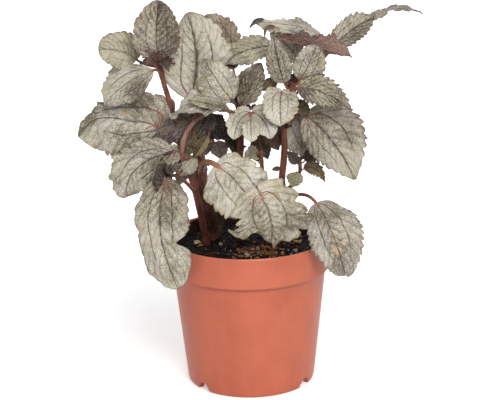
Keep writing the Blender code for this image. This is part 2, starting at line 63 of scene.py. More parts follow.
def meshFrom(name, shape):
    mesh = bpy.data.meshes.new(name)
    shape.to_mesh(mesh)
    shape.free()
    return mesh


# Edges blunter than smooth (degrees) are shaded round.
def finishPiece(name, shape, materials, node, smooth):
    mesh = meshFrom(name, shape)
    mesh.shade_smooth()
    mesh.set_sharp_from_angle(angle=math.radians(smooth))
    piece = putInScene(name, mesh, materials)
    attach(piece, "root")
    if node:
        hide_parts(node)


def only(kind, parts):  # the vertices or the edges among what an operation made
    return [part for part in parts if isinstance(part, kind)]


def bezier(points, share):
    row = list(points)
    while len(row) > 1:
        row = [near.lerp(far, share) for near, far in zip(row, row[1:])]
    return row[0]


def heading(points, share):
    return bezier([far - near for near, far in zip(points, points[1:])], share).normalized()


def bowed(start, middle, end):  # a curve's three controls, so that it passes through middle
    return start, 2 * middle - (start + end) / 2, end


def smoothStep(low, high, value):
    share = min(max((value - low) / (high - low), 0.0), 1.0)
    return share * share * (3 - 2 * share)


def smoothPath(points, steps):
    ends = [2 * points[0] - points[1], *points, 2 * points[-1] - points[-2]]
    path = []
    for index in range(1, len(ends) - 2):
        before, start, stop, after = ends[index - 1 : index + 3]
        for step in range(steps):
            near, far = (stop - before) / 6, (after - start) / 6
            path.append(bezier((start, start + near, stop - far, stop), step / steps))
    path.append(points[-1])
    return path


# A tube along centres, made by extruding one ring of edges again and again.
def addTube(shape, centres, radii, sides, firstSide, materialIndex=0):
    ring = bmesh.ops.create_circle(shape, cap_ends=True, segments=sides, radius=1.0)["verts"]
    rings = [ring]
    side, last = firstSide, None
    for index, (centre, radius) in enumerate(zip(centres, radii)):
        along = (centres[min(index + 1, len(centres) - 1)] - centres[max(index - 1, 0)]).normalized()
        if last is None:
            side = (side - side.dot(along) * along).normalized()
        else:
            side = last.rotation_difference(along) @ side
        last = along
        if index:
            edges = [shape.edges.get(pair) for pair in zip(ring, ring[1:] + ring[:1])]
            made = bmesh.ops.extrude_edge_only(shape, edges=edges)["geom"]
            verts = only(bmesh.types.BMVert, made)
            above = {edge.other_vert(vert): vert for vert in verts for edge in vert.link_edges}
            ring = [above[vert] for vert in ring]
            rings.append(ring)
        up = side.cross(along)
        for number, vert in enumerate(ring):
            turn = 2 * math.pi * number / sides
            vert.co = centre + radius * (math.cos(turn) * side + math.sin(turn) * up)
    shape.faces.new(ring)
    faces = {face for row in rings for vert in row for face in vert.link_faces}
    for face in faces:
        face.material_index = materialIndex
    bmesh.ops.recalc_face_normals(shape, faces=list(faces))


def spinRound(shape, steps):  # turns a profile into a round body
    profile = shape.verts[:] + shape.edges[:]
    bmesh.ops.spin(
        shape, geom=profile, cent=(0, 0, 0), axis=(0, 0, 1), angle=2 * math.pi, steps=steps, use_merge=True
    )


def newMaterial(name):
    material = bpy.data.materials.new(name)
    material.use_nodes = True
    return material, material.node_tree, material.node_tree.nodes["Principled BSDF"]


def feed(tree, values, node):
    for label, value in values.items():
        socket = node.inputs[label]
        if isinstance(value, bpy.types.NodeSocket):
            tree.links.new(value, socket)
        elif socket.type == "RGBA":
            socket.default_value = (*value, 1.0)
        else:
            socket.default_value = value


def addNode(tree, kind, values, **settings):
    node = tree.nodes.new("ShaderNode" + kind)
    for label, value in settings.items():
        setattr(node, label, value)
    feed(tree, values, node)
    return node


def math2(tree, operation, *values):
    return addNode(tree, "Math", dict(enumerate(values)), operation=operation).outputs[0]


def times(tree, product, *others):
    for other in others:
        product = math2(tree, "MULTIPLY", product, other)
    return product


def weighted(tree, *parts):  # the sum of the values, each times its weight
    total = 0.0
    for value, weight in parts:
        total = math2(tree, "MULTIPLY_ADD", value, weight, total)
    return total


def ramp(tree, value, low, high, lowOut=0.0, highOut=1.0):
    values = {"Value": value, "From Min": low, "From Max": high, "To Min": lowOut, "To Max": highOut}
    return addNode(tree, "MapRange", values, interpolation_type="SMOOTHSTEP").outputs["Result"]


def mixColour(tree, share, first, second, blend="MIX"):
    values = {"Factor": share, 6: first, 7: second}
    return addNode(tree, "Mix", values, data_type="RGBA", blend_type=blend).outputs[2]


def ownPlace(tree):
    return addNode(tree, "TexCoord", {}).outputs["Object"]


def noiseTexture(tree, scale, detail, rough, place=None, stretch=None):
    if place is None:
        place = ownPlace(tree)
    if stretch:
        place = addNode(tree, "Mapping", {"Scale": stretch, "Vector": place}).outputs[0]
    values = {"Scale": scale, "Detail": detail, "Roughness": rough, "Vector": place}
    return addNode(tree, "TexNoise", values).outputs["Fac"]


def finishMaterial(tree, shader, colour, rough, shine, height, depth, strength):
    bump = addNode(tree, "Bump", {"Strength": strength, "Distance": depth, "Height": height})
    feed(tree, {"Base Color": colour, "Roughness": rough, "Specular IOR Level": shine}, shader)
    feed(tree, {"Normal": bump.outputs["Normal"]}, shader)


view = {"place": (0.0, -1.2, 0.49), "pitch": 0.2868, "turn": 0.0012, "roll": -0.0189, "lens": 123.55}
lamps = {
    "key": {"place": (0.30, -1.30, 1.05), "size": 0.7, "power": 19.0},
    "fill": {"place": (-1.0, -0.8, 0.7), "size": 1.2, "power": 1.5},
    "back": {"place": (0.1, 1.0, 1.2), "size": 0.9, "power": 5.0},
}
studio = {
    "aim": (0, 0, 0.15),
    "sky": 0.27,
    "floorGrey": 0.86,
    "floorSize": 4.0,
    "floorDrop": 0.0002,  # just under the pot
    "floorGlow": 0.45,
    "glowFrom": 0.05,
    "glowTo": 0.6,
}


def setCamera():
    lens = bpy.data.cameras.new("viewCamera")
    lens.lens = view["lens"]
    lens.sensor_width = 36.0
    lens.clip_start = 0.05
    camera = putInScene("viewCamera", lens)
    camera.matrix_world = (
        Matrix.Translation(view["place"])
        @ Matrix.Rotation(-view["turn"], 4, "Z")
        @ Matrix.Rotation(math.pi / 2 - view["pitch"], 4, "X")
        @ Matrix.Rotation(view["roll"], 4, "Z")
    )
    bpy.context.scene.camera = camera


def seenBy(tree, *rays):  # 1 where one of these kinds of ray looks, 0 for lighting
    path = addNode(tree, "LightPath", {})
    seen = path.outputs["Is Camera Ray"]
    for ray in rays:
        seen = math2(tree, "MAXIMUM", seen, path.outputs[ray])
    return seen


def setLights():
    for name, row in lamps.items():
        lamp = bpy.data.lights.new(name + "Light", "AREA")
        lamp.size = row["size"]
        lamp.energy = row["power"]
        light = putInScene(name + "Light", lamp)
        light.location = row["place"]
        aim = Vector(studio["aim"]) - Vector(row["place"])
        light.rotation_euler = aim.to_track_quat("-Z", "Y").to_euler()
    world = bpy.data.worlds.new("studioWorld")
    bpy.context.scene.world = world
    world.use_nodes = True
    tree = world.node_tree
    seen = seenBy(tree, "Is Glossy Ray", "Is Transmission Ray")
    glow = ramp(tree, seen, 0.0, 1.0, studio["sky"], 1.0)
    feed(tree, {"Color": (1, 1, 1), "Strength": glow}, tree.nodes["Background"])


def setFloor():
    shape = bmesh.new()
    bmesh.ops.create_grid(shape, x_segments=2, y_segments=2, size=studio["floorSize"])
    bmesh.ops.translate(shape, vec=(0, 0, -studio["floorDrop"]), verts=shape.verts)
    material, tree, shader = newMaterial("paleFloor")
    away = addNode(tree, "VectorMath", {0: ownPlace(tree)}, operation="LENGTH").outputs["Value"]
    # the lamps fade with distance, so the floor glows more
    glow = ramp(tree, away, studio["glowFrom"], studio["glowTo"], studio["floorGlow"], 1.0)
    grey = (studio["floorGrey"],) * 3
    feed(tree, {"Base Color": grey, "Roughness": 0.9, "Specular IOR Level": 0.0, "Emission Color": (1, 1, 1),
                "Emission Strength": times(tree, seenBy(tree, "Is Glossy Ray"), glow)}, shader)
    putInScene("studioFloor", meshFrom("studioFloor", shape), [material])


bpy.context.scene.view_settings.view_transform = "Standard"
setCamera()
setLights()
setFloor()
print("camera, lights and floor set")


pot = {  # mm
    "rim": 60.0,
    "height": 110.0,
    "band": 59.2,
    "bandBottom": 87.0,
    "shoulder": 56.0,
    "shoulderHeight": 85.0,
    "foot": 47.0,
    "wall": 2.0,
    "ring": 42.0,
    "pad": 18.0,
    "padSides": 72,
    "channel": 4.5,
    "floor": 7.0,
    "segments": 240,
    "notches": (-49.0, 57.0, 131.0, 237.0),  # degrees from the front
    "notchWidth": 11.5,
    "notchHeight": 6.0,
    "notchZone": (38.0, 50.0),  # radii of the foot that the notches cut
    "notchZoneTop": 8.0,
    "ringLimit": 6.8,  # how high a notch may cut the foot ring
    "wallLimit": 9.0,  # and the wall outside it
    "holes": 6,
    "holeRadius": 3.5,
    "holeSides": 28,
    "holeCircle": 30.0,
    "colour": (0.635, 0.172, 0.098),
    "darker": (0.56, 0.142, 0.082),
    "grime": (0.23, 0.085, 0.05),
    # painted shade under the band's lower edge
    "paintedShadeUnderBand": (0.28, 0.075, 0.045),
    "innerWallDark": (0.020, 0.013, 0.009),
    "wobble": 0.0016,  # how far from round, as a share
    "wobbleFrom": 20.0,  # height
}


def potWallAt(height):  # outer radius of the wall (mm)
    if height < pot["shoulderHeight"]:
        return pot["foot"] + (pot["shoulder"] - pot["foot"]) * height / pot["shoulderHeight"]
    share = (height - pot["bandBottom"]) / (pot["height"] - pot["bandBottom"])
    return pot["band"] + (pot["rim"] - pot["band"]) * share


def makePotMaterial():
    material, tree, shader = newMaterial("terracottaPlastic")
    x, y, height = addNode(tree, "SeparateXYZ", {0: ownPlace(tree)}).outputs
    radius = math2(tree, "SQRT", math2(tree, "MULTIPLY_ADD", x, x, times(tree, y, y)))
    cloudy = noiseTexture(tree, 45.0, 3.0, 0.5)
    flow = noiseTexture(tree, 60.0, 3.0, 0.6, stretch=(1.0, 1.0, 0.12))
    share = weighted(tree, (cloudy, 0.5), (flow, 0.5))
    colour = mixColour(tree, ramp(tree, share, 0.36, 0.64), pot["darker"], pot["colour"])
    grime = ramp(tree, noiseTexture(tree, 260.0, 5.0, 0.65), 0.58, 0.75)
    low = ramp(tree, height, 0.0, 0.012, 0.35, 0.0)
    colour = mixColour(tree, times(tree, grime, math2(tree, "ADD", low, 0.10)), colour, pot["grime"])
    # painted shade: a darker strip on the wall just under the band's lower edge, where the band overhangs
    belowBand = ramp(tree, height, 0.0868, 0.0885, 1.0, 0.0)
    step = times(tree, ramp(tree, height, 0.0835, 0.0855, 0.0, 0.30), belowBand)
    colour = mixColour(tree, step, colour, pot["paintedShadeUnderBand"])
    ragged = math2(tree, "MULTIPLY_ADD", noiseTexture(tree, 120.0, 5.0, 0.7), -0.006, height)
    inside = times(  # the inner wall above the soil is darkened almost to black, up to a ragged line under the rim
        tree,
        ramp(tree, radius, 0.0581, 0.0585, 1.0, 0.0),
        ramp(tree, height, 0.0872, 0.0880),
        ramp(tree, ragged, 0.1048, 0.1062, 0.96, 0.0),
    )
    colour = mixColour(tree, inside, colour, pot["innerWallDark"])
    rough = math2(tree, "MULTIPLY_ADD", inside, 0.5, ramp(tree, cloudy, 0.3, 0.7, 0.34, 0.44))
    grain = weighted(tree, (noiseTexture(tree, 900.0, 2.0, 0.5), 0.15), (flow, 0.6))
    finishMaterial(tree, shader, colour, rough, 0.22, grain, 0.00015, 0.5)
    return material


def addLoop(shape, segments, radius, x, y, height):  # a ring of edges (mm)
    place = Matrix.Translation((x * mm, y * mm, height * mm))
    verts = bmesh.ops.create_circle(shape, segments=segments, radius=radius * mm, matrix=place)["verts"]
    return list({edge for vert in verts for edge in vert.link_edges})


def cutNotches(shape):  # the four arched openings in the foot
    near, far = pot["notchZone"]
    for vert in shape.verts:
        radius = vert.co.xy.length
        if near * mm < radius < far * mm and vert.co.z < pot["notchZoneTop"] * mm:
            bearing = math.degrees(math.atan2(vert.co.x, -vert.co.y))
            for notch in pot["notches"]:
                away = math.radians((bearing - notch + 180) % 360 - 180) * radius / mm
                reach = abs(away) / (pot["notchWidth"] / 2)
                if reach < 1:
                    arch = pot["notchHeight"] * (1 - reach**3) ** 0.5
                    limit = pot["ringLimit"] if radius < 45.2 * mm else pot["wallLimit"]
                    vert.co.z = max(vert.co.z, min(arch, limit) * mm)


def potProfile():  # radius and height, up the inner wall, over the rim and down to the foot ring
    rim, top, foot, wall = pot["rim"], pot["height"], pot["foot"], pot["wall"]
    band, low, ring = pot["band"], pot["bandBottom"], pot["ring"]
    shoulder, step = pot["shoulder"], pot["shoulderHeight"]
    inner = [(foot - wall, pot["floor"]), (shoulder - wall, step), (band - wall, low + wall)]
    lip = [(rim - wall, top - 0.4), (rim - 1.3, top), (rim - 0.5, top), (rim, top - 0.9)]
    lip += [(rim - 0.1, top - 2.6), (rim - 0.35, top - 3.4)]
    outer = [(band, low + 0.4), (band - 0.5, low - 0.1), (shoulder + 0.4, step + 0.3), (shoulder, step - 0.6)]
    bottom = [(foot + 0.1, 3.0), (foot - 0.5, 0.9), (foot - 1.4, 0.0), (ring + 0.4, 0.0), (ring, 0.5)]
    return inner + lip + outer + bottom + [(ring, pot["channel"])]


def closeFloor(shape):  # two faces joined by round holes, and a pad under the middle
    ends = [edge for edge in shape.edges if edge.is_boundary]
    floorEdges = [edge for edge in ends if edge.verts[0].co.z > 6 * mm]
    channelEdges = [edge for edge in ends if edge.verts[0].co.z < 6 * mm]
    pairs = []
    for number in range(pot["holes"]):
        turn = 2 * math.pi * number / pot["holes"]
        x, y = pot["holeCircle"] * math.cos(turn), pot["holeCircle"] * math.sin(turn)
        upper = addLoop(shape, pot["holeSides"], pot["holeRadius"], x, y, pot["floor"])
        lower = addLoop(shape, pot["holeSides"], pot["holeRadius"], x, y, pot["channel"])
        floorEdges += upper
        channelEdges += lower
        pairs.append(upper + lower)
    padEdges = addLoop(shape, pot["padSides"], pot["pad"], 0, 0, pot["channel"])
    bmesh.ops.triangle_fill(shape, use_beauty=True, edges=floorEdges)
    bmesh.ops.triangle_fill(shape, use_beauty=True, edges=channelEdges + padEdges)
    for pair in pairs:
        bmesh.ops.bridge_loops(shape, edges=pair)
    sides = bmesh.ops.extrude_edge_only(shape, edges=padEdges)["geom"]
    bmesh.ops.translate(shape, vec=(0, 0, -pot["channel"] * mm), verts=only(bmesh.types.BMVert, sides))
    bmesh.ops.contextual_create(shape, geom=only(bmesh.types.BMEdge, sides))


def buildPot(material):
    shape = bmesh.new()
    profile = [shape.verts.new((radius * mm, 0, height * mm)) for radius, height in potProfile()]
    edges = [shape.edges.new(pair) for pair in zip(profile, profile[1:])]
    walls = [edge for edge in edges if edge.calc_length() > 12 * mm]
    bmesh.ops.subdivide_edges(shape, edges=walls, cuts=6)
    spinRound(shape, pot["segments"])
    closeFloor(shape)
    cutNotches(shape)
    bmesh.ops.recalc_face_normals(shape, faces=shape.faces)
    for vert in shape.verts:  # thin moulded walls are never perfectly round
        if vert.co.z > pot["wobbleFrom"] * mm:
            bearing = math.atan2(vert.co.y, vert.co.x)
            swell = 1 + pot["wobble"] * vert.co.z / (pot["height"] * mm) * math.sin(2 * bearing + 0.8)
            vert.co.xy *= min(swell, 1.0)
    finishPiece("pot_moulded", shape, [material], "pot", 32)


soil = {  # mm
    "level": 98.6,
    "edgeDip": 1.6,
    "heapBack": 4.5,
    "lumps": 1.5,
    "grain": 0.45,
    "rings": 64,
    "ringSides": 150,
    "inner": 0.3,
    "spread": 56.0,
    "clearOfWall": 0.25,
    "skirt": ((88.6, 56.9), (84.5, 53.6), (7.4, 44.6)),  # height and radius, down the inner wall
    "crumbsWithin": 53.5,
    "gathered": 0.75,  # share of a kind of crumb that lies together
    "crumbRough": 0.3,
    "fibres": 90,
    "fibresWithin": 48.0,
    "crumbSeed": 12,
    "litterSeed": 5,
    "litterFill": 0.98,  # of the box of the piece it stands for
    "litterSunk": 0.25,
}

# light and shade colours and how fine the grain is
soilLooks = {
    "pottingSoil": ((0.013, 0.008, 0.005), (0.002, 0.0015, 0.001), 420.0),
    "soilCrumb": ((0.028, 0.014, 0.009), (0.004, 0.0025, 0.002), 700.0),
    "orangeBark": ((0.72, 0.35, 0.14), (0.28, 0.10, 0.04), 380.0),
    "tanBark": ((0.80, 0.58, 0.35), (0.45, 0.28, 0.15), 380.0),
    "whitePerlite": ((0.80, 0.77, 0.70), (0.52, 0.46, 0.37), 500.0),
    "redFibre": ((0.20, 0.065, 0.035), (0.07, 0.022, 0.013), 500.0),
}
litterLooks = {"bark_orange": "orangeBark", "bark_tan": "tanBark", "perlite_white": "whitePerlite"}

# how many, smallest and largest (mm), look, slot, where they gather (middle and spread in mm) and how round
crumbs = {
    "soil_crumbs": (900, (0.9, 2.2), "soilCrumb", "potting_soil", None, 1),
    "bark_crumbs": (230, (0.8, 2.6), "orangeBark", "bark_orange", (8, -7, 11, 9), 1),
    "tan_crumbs": (76, (0.8, 2.7), "tanBark", "bark_tan", (10, -9, 13, 9), 1),
    "perlite_crumbs": (46, (0.6, 1.6), "whitePerlite", "perlite_white", (8, -10, 24, 14), 2),
}


def soilHeight(x, y):  # lumpy, lowest against the pot, heaped at the back
    share = min(math.hypot(x, y) / (57 * mm), 1.0)
    place = Vector((x, y, 0.0))
    height = soil["level"] - soil["edgeDip"] * share**3 + soil["heapBack"] * smoothStep(0.0, 55 * mm, y)
    height += soil["lumps"] * noise.noise(place / 0.011) + 0.7 * soil["lumps"] * noise.noise(place / 0.005)
    height += soil["grain"] * noise.noise(place / 0.0018)
    return height * mm


def makeSoilMaterial(name, light, shade, scale):
    material, tree, shader = newMaterial(name)
    fine = noiseTexture(tree, scale, 5.0, 0.65)
    broad = noiseTexture(tree, scale / 6, 3.0, 0.5)
    share = weighted(tree, (broad, 0.4), (fine, 0.6))
    colour = mixColour(tree, ramp(tree, share, 0.40, 0.66), shade, light)
    finishMaterial(tree, shader, colour, ramp(tree, fine, 0.3, 0.7, 0.95, 0.72), 0.12, fine, 0.0008, 0.9)
    return material


def buildSoil(material):
    shape = bmesh.new()
    radii = [soil["inner"] + soil["spread"] * step / soil["rings"] for step in range(soil["rings"] + 1)]
    line = [shape.verts.new((radius * mm, 0, 0)) for radius in radii]
    for pair in zip(line, line[1:]):
        shape.edges.new(pair)
    spinRound(shape, soil["ringSides"])
    centre = [edge for edge in shape.edges if edge.is_boundary and edge.verts[0].co.xy.length < 1 * mm]
    bmesh.ops.contextual_create(shape, geom=centre)
    for vert in shape.verts:
        radius = vert.co.xy.length
        vert.co.z = soilHeight(vert.co.x, vert.co.y)
        limit = potWallAt(vert.co.z / mm) - pot["wall"] - soil["clearOfWall"]
        if radius > 55.9 * mm:  # the outermost ring meets the wall
            vert.co.xy *= limit * mm / radius
    edges = [edge for edge in shape.edges if edge.is_boundary]
    for height, radius in soil["skirt"]:
        made = bmesh.ops.extrude_edge_only(shape, edges=edges)["geom"]
        edges = only(bmesh.types.BMEdge, made)
        for vert in only(bmesh.types.BMVert, made):
            vert.co.xy *= radius * mm / vert.co.xy.length
            vert.co.z = height * mm
    bmesh.ops.contextual_create(shape, geom=edges)
    bmesh.ops.recalc_face_normals(shape, faces=shape.faces)
    finishPiece("soil_filled", shape, [material], "potting_soil", 60)


def addCrumb(shape, place, size, dice, rounds):
    made = bmesh.ops.create_icosphere(shape, subdivisions=rounds, radius=0.5)["verts"]
    rough = soil["crumbRough"]
    seed = Vector((dice.uniform(-50, 50), dice.uniform(-50, 50), 0))
    turn = Matrix.Rotation(dice.uniform(0, 6.28), 4, "Z") @ Matrix.Rotation(dice.uniform(-0.5, 0.5), 4, "X")
    for vert in made:
        vert.co *= 1 + rough * (2 * noise.noise(vert.co * 2.6 + seed) + dice.uniform(-0.5, 0.5))
        vert.co = turn @ Vector((vert.co.x * size[0], vert.co.y * size[1], vert.co.z * size[2])) * mm + place


def scatterCrumbs(name, row, materials, dice):
    count, sizes, look, slotName, near, rounds = row
    shape = bmesh.new()
    for number in range(count):
        while True:
            if near and dice.random() < soil["gathered"]:
                x, y = dice.gauss(near[0], near[2]) * mm, dice.gauss(near[1], near[3]) * mm
            else:
                x, y = dice.uniform(-55, 55) * mm, dice.uniform(-55, 55) * mm
            if math.hypot(x, y) < soil["crumbsWithin"] * mm:
                break
        size = dice.uniform(*sizes) * (0.6 + 0.8 * dice.random() ** 2)
        extent = (size * dice.uniform(0.9, 1.7), size * dice.uniform(0.7, 1.0), size * dice.uniform(0.5, 0.8))
        addCrumb(shape, Vector((x, y, soilHeight(x, y) + 0.15 * size * mm)), extent, dice, rounds)
    finishPiece(name, shape, [materials[look]], None, 40)


def scatterFibres(material, dice):
    shape = bmesh.new()
    for number in range(soil["fibres"]):
        x, y = dice.gauss(8, 20) * mm, dice.gauss(-8, 18) * mm
        if math.hypot(x, y) > soil["fibresWithin"] * mm:
            continue
        turn, length = dice.uniform(0, 6.28), dice.uniform(2.5, 7.0) * mm
        bend = dice.uniform(-0.6, 0.6)
        centres = []
        for step in range(5):
            share = step / 4 - 0.5
            way = turn + bend * share
            px, py = x + length * share * math.cos(way), y + length * share * math.sin(way)
            arch = (0.5 - share * share) * mm * dice.uniform(0.5, 1.6)
            centres.append(Vector((px, py, soilHeight(px, py) + arch)))
        radius = dice.uniform(0.16, 0.42) * mm
        radii = [radius * share for share in (0.7, 1.0, 1.0, 0.9, 0.5)]
        addTube(shape, centres, radii, 5, Vector((0, 0, 1)))
    finishPiece("bark_fibres", shape, [material], None, 50)


def buildLitter(materials):
    dice = random.Random(soil["litterSeed"])
    for node in sorted(frame["nodes"]):
        if not node.startswith(("bark_chip", "perlite")):
            continue
        low, high = (Vector(corner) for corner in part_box(node))
        shape = bmesh.new()
        seed = Vector((dice.uniform(-9, 9), dice.uniform(-9, 9), 0))
        bmesh.ops.create_icosphere(shape, subdivisions=4, radius=0.5)
        shape.normal_update()
        for vert in shape.verts:
            lump = noise.noise(vert.co * 2.6 + seed) * 0.42 + noise.noise(vert.co * 7.0 + seed) * 0.14
            vert.co += vert.normal * lump
        middle, size = (low + high) / 2, (high - low) * soil["litterFill"]
        spans = [max(row) - min(row) for row in zip(*(vert.co for vert in shape.verts))]
        for vert in shape.verts:
            sized = [part * whole / span for part, whole, span in zip(vert.co, size, spans)]
            vert.co = middle + Vector(sized)
        drop = soilHeight(middle.x, middle.y) - low.z - soil["litterSunk"] * size.z
        bmesh.ops.translate(shape, vec=(0, 0, drop), verts=shape.verts)
        finishPiece(node + "_rough", shape, [materials[litterLooks[slotOf[node]]]], node, 35)


leafForm = {  # mm
    "thickness": 0.35,
    "rowStep": 0.5,
    "columnStep": 0.7,
    "fullSize": 30.0,  # shorter blades are thinner and flatter
    "veinCount": 8.0,
    "veinSlant": 3.4,
    "nerveAt": 0.45,  # the long side veins, share of the half width
    "grooveDepth": 0.62,
    "puffHeight": 0.45,
    "waveHeight": 1.9,
    "crinkles": ((3.2, 10.0, 0.08), (1.1, 4.5, 0.1)),  # height, size and what reaches the midrib
    "raggedSpan": 6.0,
    "marginFrom": 0.66,  # share of the half width
    "toothLength": 1.7,
    "petioleSides": 10,
    "petioleSteps": 14,
    "midribSteps": 16,
    "midribReach": 0.9,  # share of the blade
    "thinnest": 0.16,
    "blush": (0.30, 0.06, 0.03),  # where the petiole joins
    "warm": (1.01, 1.0, 0.92),
    "cool": (1.0, 0.985, 0.99),
}

leafColours = ("Light", "Shade", "Vein", "Patch", "Edge")
leafShares = ("Patches", "Edge Width", "Veining", "Brightness", "Painted Ridge Shade")
bladeMarks = ("puff", "tone", "dried")  # what a blade's vertices carry for its material, painted light and shade among them


def makeLeafGroup():
    group = bpy.data.node_groups.new("quiltedLeaf", "ShaderNodeTree")
    colour, number = "NodeSocketColor", "NodeSocketFloat"
    for label in leafColours + leafShares:
        kind = colour if label in leafColours else number
        group.interface.new_socket(label, in_out="INPUT", socket_type=kind)
    for label, kind in (("Color", colour), ("Roughness", number), ("Height", number)):
        group.interface.new_socket(label, in_out="OUTPUT", socket_type=kind)
    given = group.nodes.new("NodeGroupInput").outputs
    leafPlace = addNode(group, "UVMap", {}, uv_map="leafPlace").outputs["UV"]
    across, along, _ = addNode(group, "SeparateXYZ", {0: leafPlace}).outputs
    marks = [addNode(group, "Attribute", {}, attribute_name=name) for name in bladeMarks]
    puff, tone, dried = (mark.outputs["Fac"] for mark in marks)
    fromRib = math2(group, "ABSOLUTE", math2(group, "MULTIPLY_ADD", across, 2.0, -1.0))
    midrib = ramp(group, fromRib, 0.014, 0.042, 1.0, 0.0)
    awayFromNerve = math2(group, "SUBTRACT", fromRib, leafForm["nerveAt"])
    nerve = ramp(group, math2(group, "ABSOLUTE", awayFromNerve), 0.008, 0.042, 1.0, 0.0)
    nerve = times(group, nerve, ramp(group, along, 0.50, 0.92, 1.0, 0.0))
    rank = weighted(group, (along, leafForm["veinCount"]), (fromRib, -leafForm["veinSlant"]))
    beat = math2(group, "ABSOLUTE", math2(group, "SUBTRACT", math2(group, "FRACT", rank), 0.5))
    sideVein = ramp(group, beat, 0.41, 0.5, 0.0, 0.45)
    veins = math2(group, "MAXIMUM", midrib, math2(group, "MAXIMUM", nerve, sideVein))
    tiny = {"Scale": 560.0, "Vector": ownPlace(group)}
    tiny = addNode(group, "TexVoronoi", tiny, feature="DISTANCE_TO_EDGE").outputs["Distance"]
    cells = ramp(group, tiny, 0.0, 0.16)
    swell = ramp(group, puff, 0.25, 0.85)
    strand = {"X": times(group, rank, 1.7), "Y": times(group, fromRib, 1.6), "Z": times(group, across, 9.0)}
    strand = addNode(group, "CombineXYZ", strand).outputs[0]
    streaks = ramp(group, noiseTexture(group, 1.3, 4.0, 0.6, strand), 0.30, 0.70)
    fine = ramp(group, noiseTexture(group, 1050.0, 3.0, 0.7), 0.38, 0.64)
    broad = ramp(group, noiseTexture(group, 42.0, 2.0, 0.5), 0.32, 0.68)
    # painted shade: each quilted panel lighter at one end and darker at the other, as if lit from one side
    paintedPanelShade = ramp(group, math2(group, "FRACT", math2(group, "ADD", rank, 0.5)), 0.0, 1.0)
    # painted shade: darker towards each lateral vein, lighter along the ridges between them
    paintedRidgeShade = times(group, ramp(group, beat, 0.12, 0.46, 1.0, 0.0), given["Painted Ridge Shade"])
    parts = ((cells, 0.06), (swell, 0.10), (fine, 0.30), (streaks, 0.12), (broad, 0.32), (paintedPanelShade, 0.06))
    light = weighted(group, *parts)
    # painted light and shade from each blade's halves and tip joins the lightness here
    for more in (paintedRidgeShade, tone, given["Brightness"]):
        light = math2(group, "ADD", light, more)
    light = ramp(group, light, 0.42, 1.18)
    colour = mixColour(group, light, given["Shade"], given["Light"])
    drift = ramp(group, noiseTexture(group, 60.0, 3.0, 0.6), 0.34, 0.66)
    tint = mixColour(group, drift, leafForm["warm"], leafForm["cool"])
    colour = mixColour(group, 1.0, colour, tint, "MULTIPLY")
    spots = ramp(group, noiseTexture(group, 95.0, 6.0, 0.70), 0.53, 0.66)
    patches = times(group, spots, ramp(group, fromRib, 0.2, 1.0, 0.45, 1.0), given["Patches"])
    colour = mixColour(group, math2(group, "MAXIMUM", patches, dried), colour, given["Patch"])
    broken = ramp(group, noiseTexture(group, 300.0, 2.0, 0.5), 0.35, 0.6, 0.60, 1.0)
    colour = mixColour(group, times(group, veins, broken, given["Veining"]), colour, given["Vein"])
    nearStalk = times(group, ramp(group, along, 0.0, 0.22, 0.9, 0.0), ramp(group, veins, 0.2, 0.8))
    atStalk = times(group, ramp(group, along, 0.0, 0.07, 0.7, 0.0), ramp(group, fromRib, 0.0, 0.5, 1.0, 0.0))
    colour = mixColour(group, math2(group, "MAXIMUM", nearStalk, atStalk), colour, leafForm["blush"])
    rim = math2(group, "SUBTRACT", 1.0, given["Edge Width"])
    uneven = math2(group, "MULTIPLY_ADD", fine, 0.06, fromRib)
    nearEdge = math2(group, "DIVIDE", math2(group, "SUBTRACT", uneven, rim), given["Edge Width"])
    colour = mixColour(group, ramp(group, nearEdge, 0.2, 1.3, 0.0, 0.85), colour, given["Edge"])
    rough = ramp(group, light, 0.0, 1.0, 0.58, 0.34)
    height = weighted(group, (fine, 0.35), (cells, 0.35), (streaks, 0.15), (veins, -0.6))
    feed(group, {"Color": colour, "Roughness": rough, "Height": height}, group.nodes.new("NodeGroupOutput"))
    return group


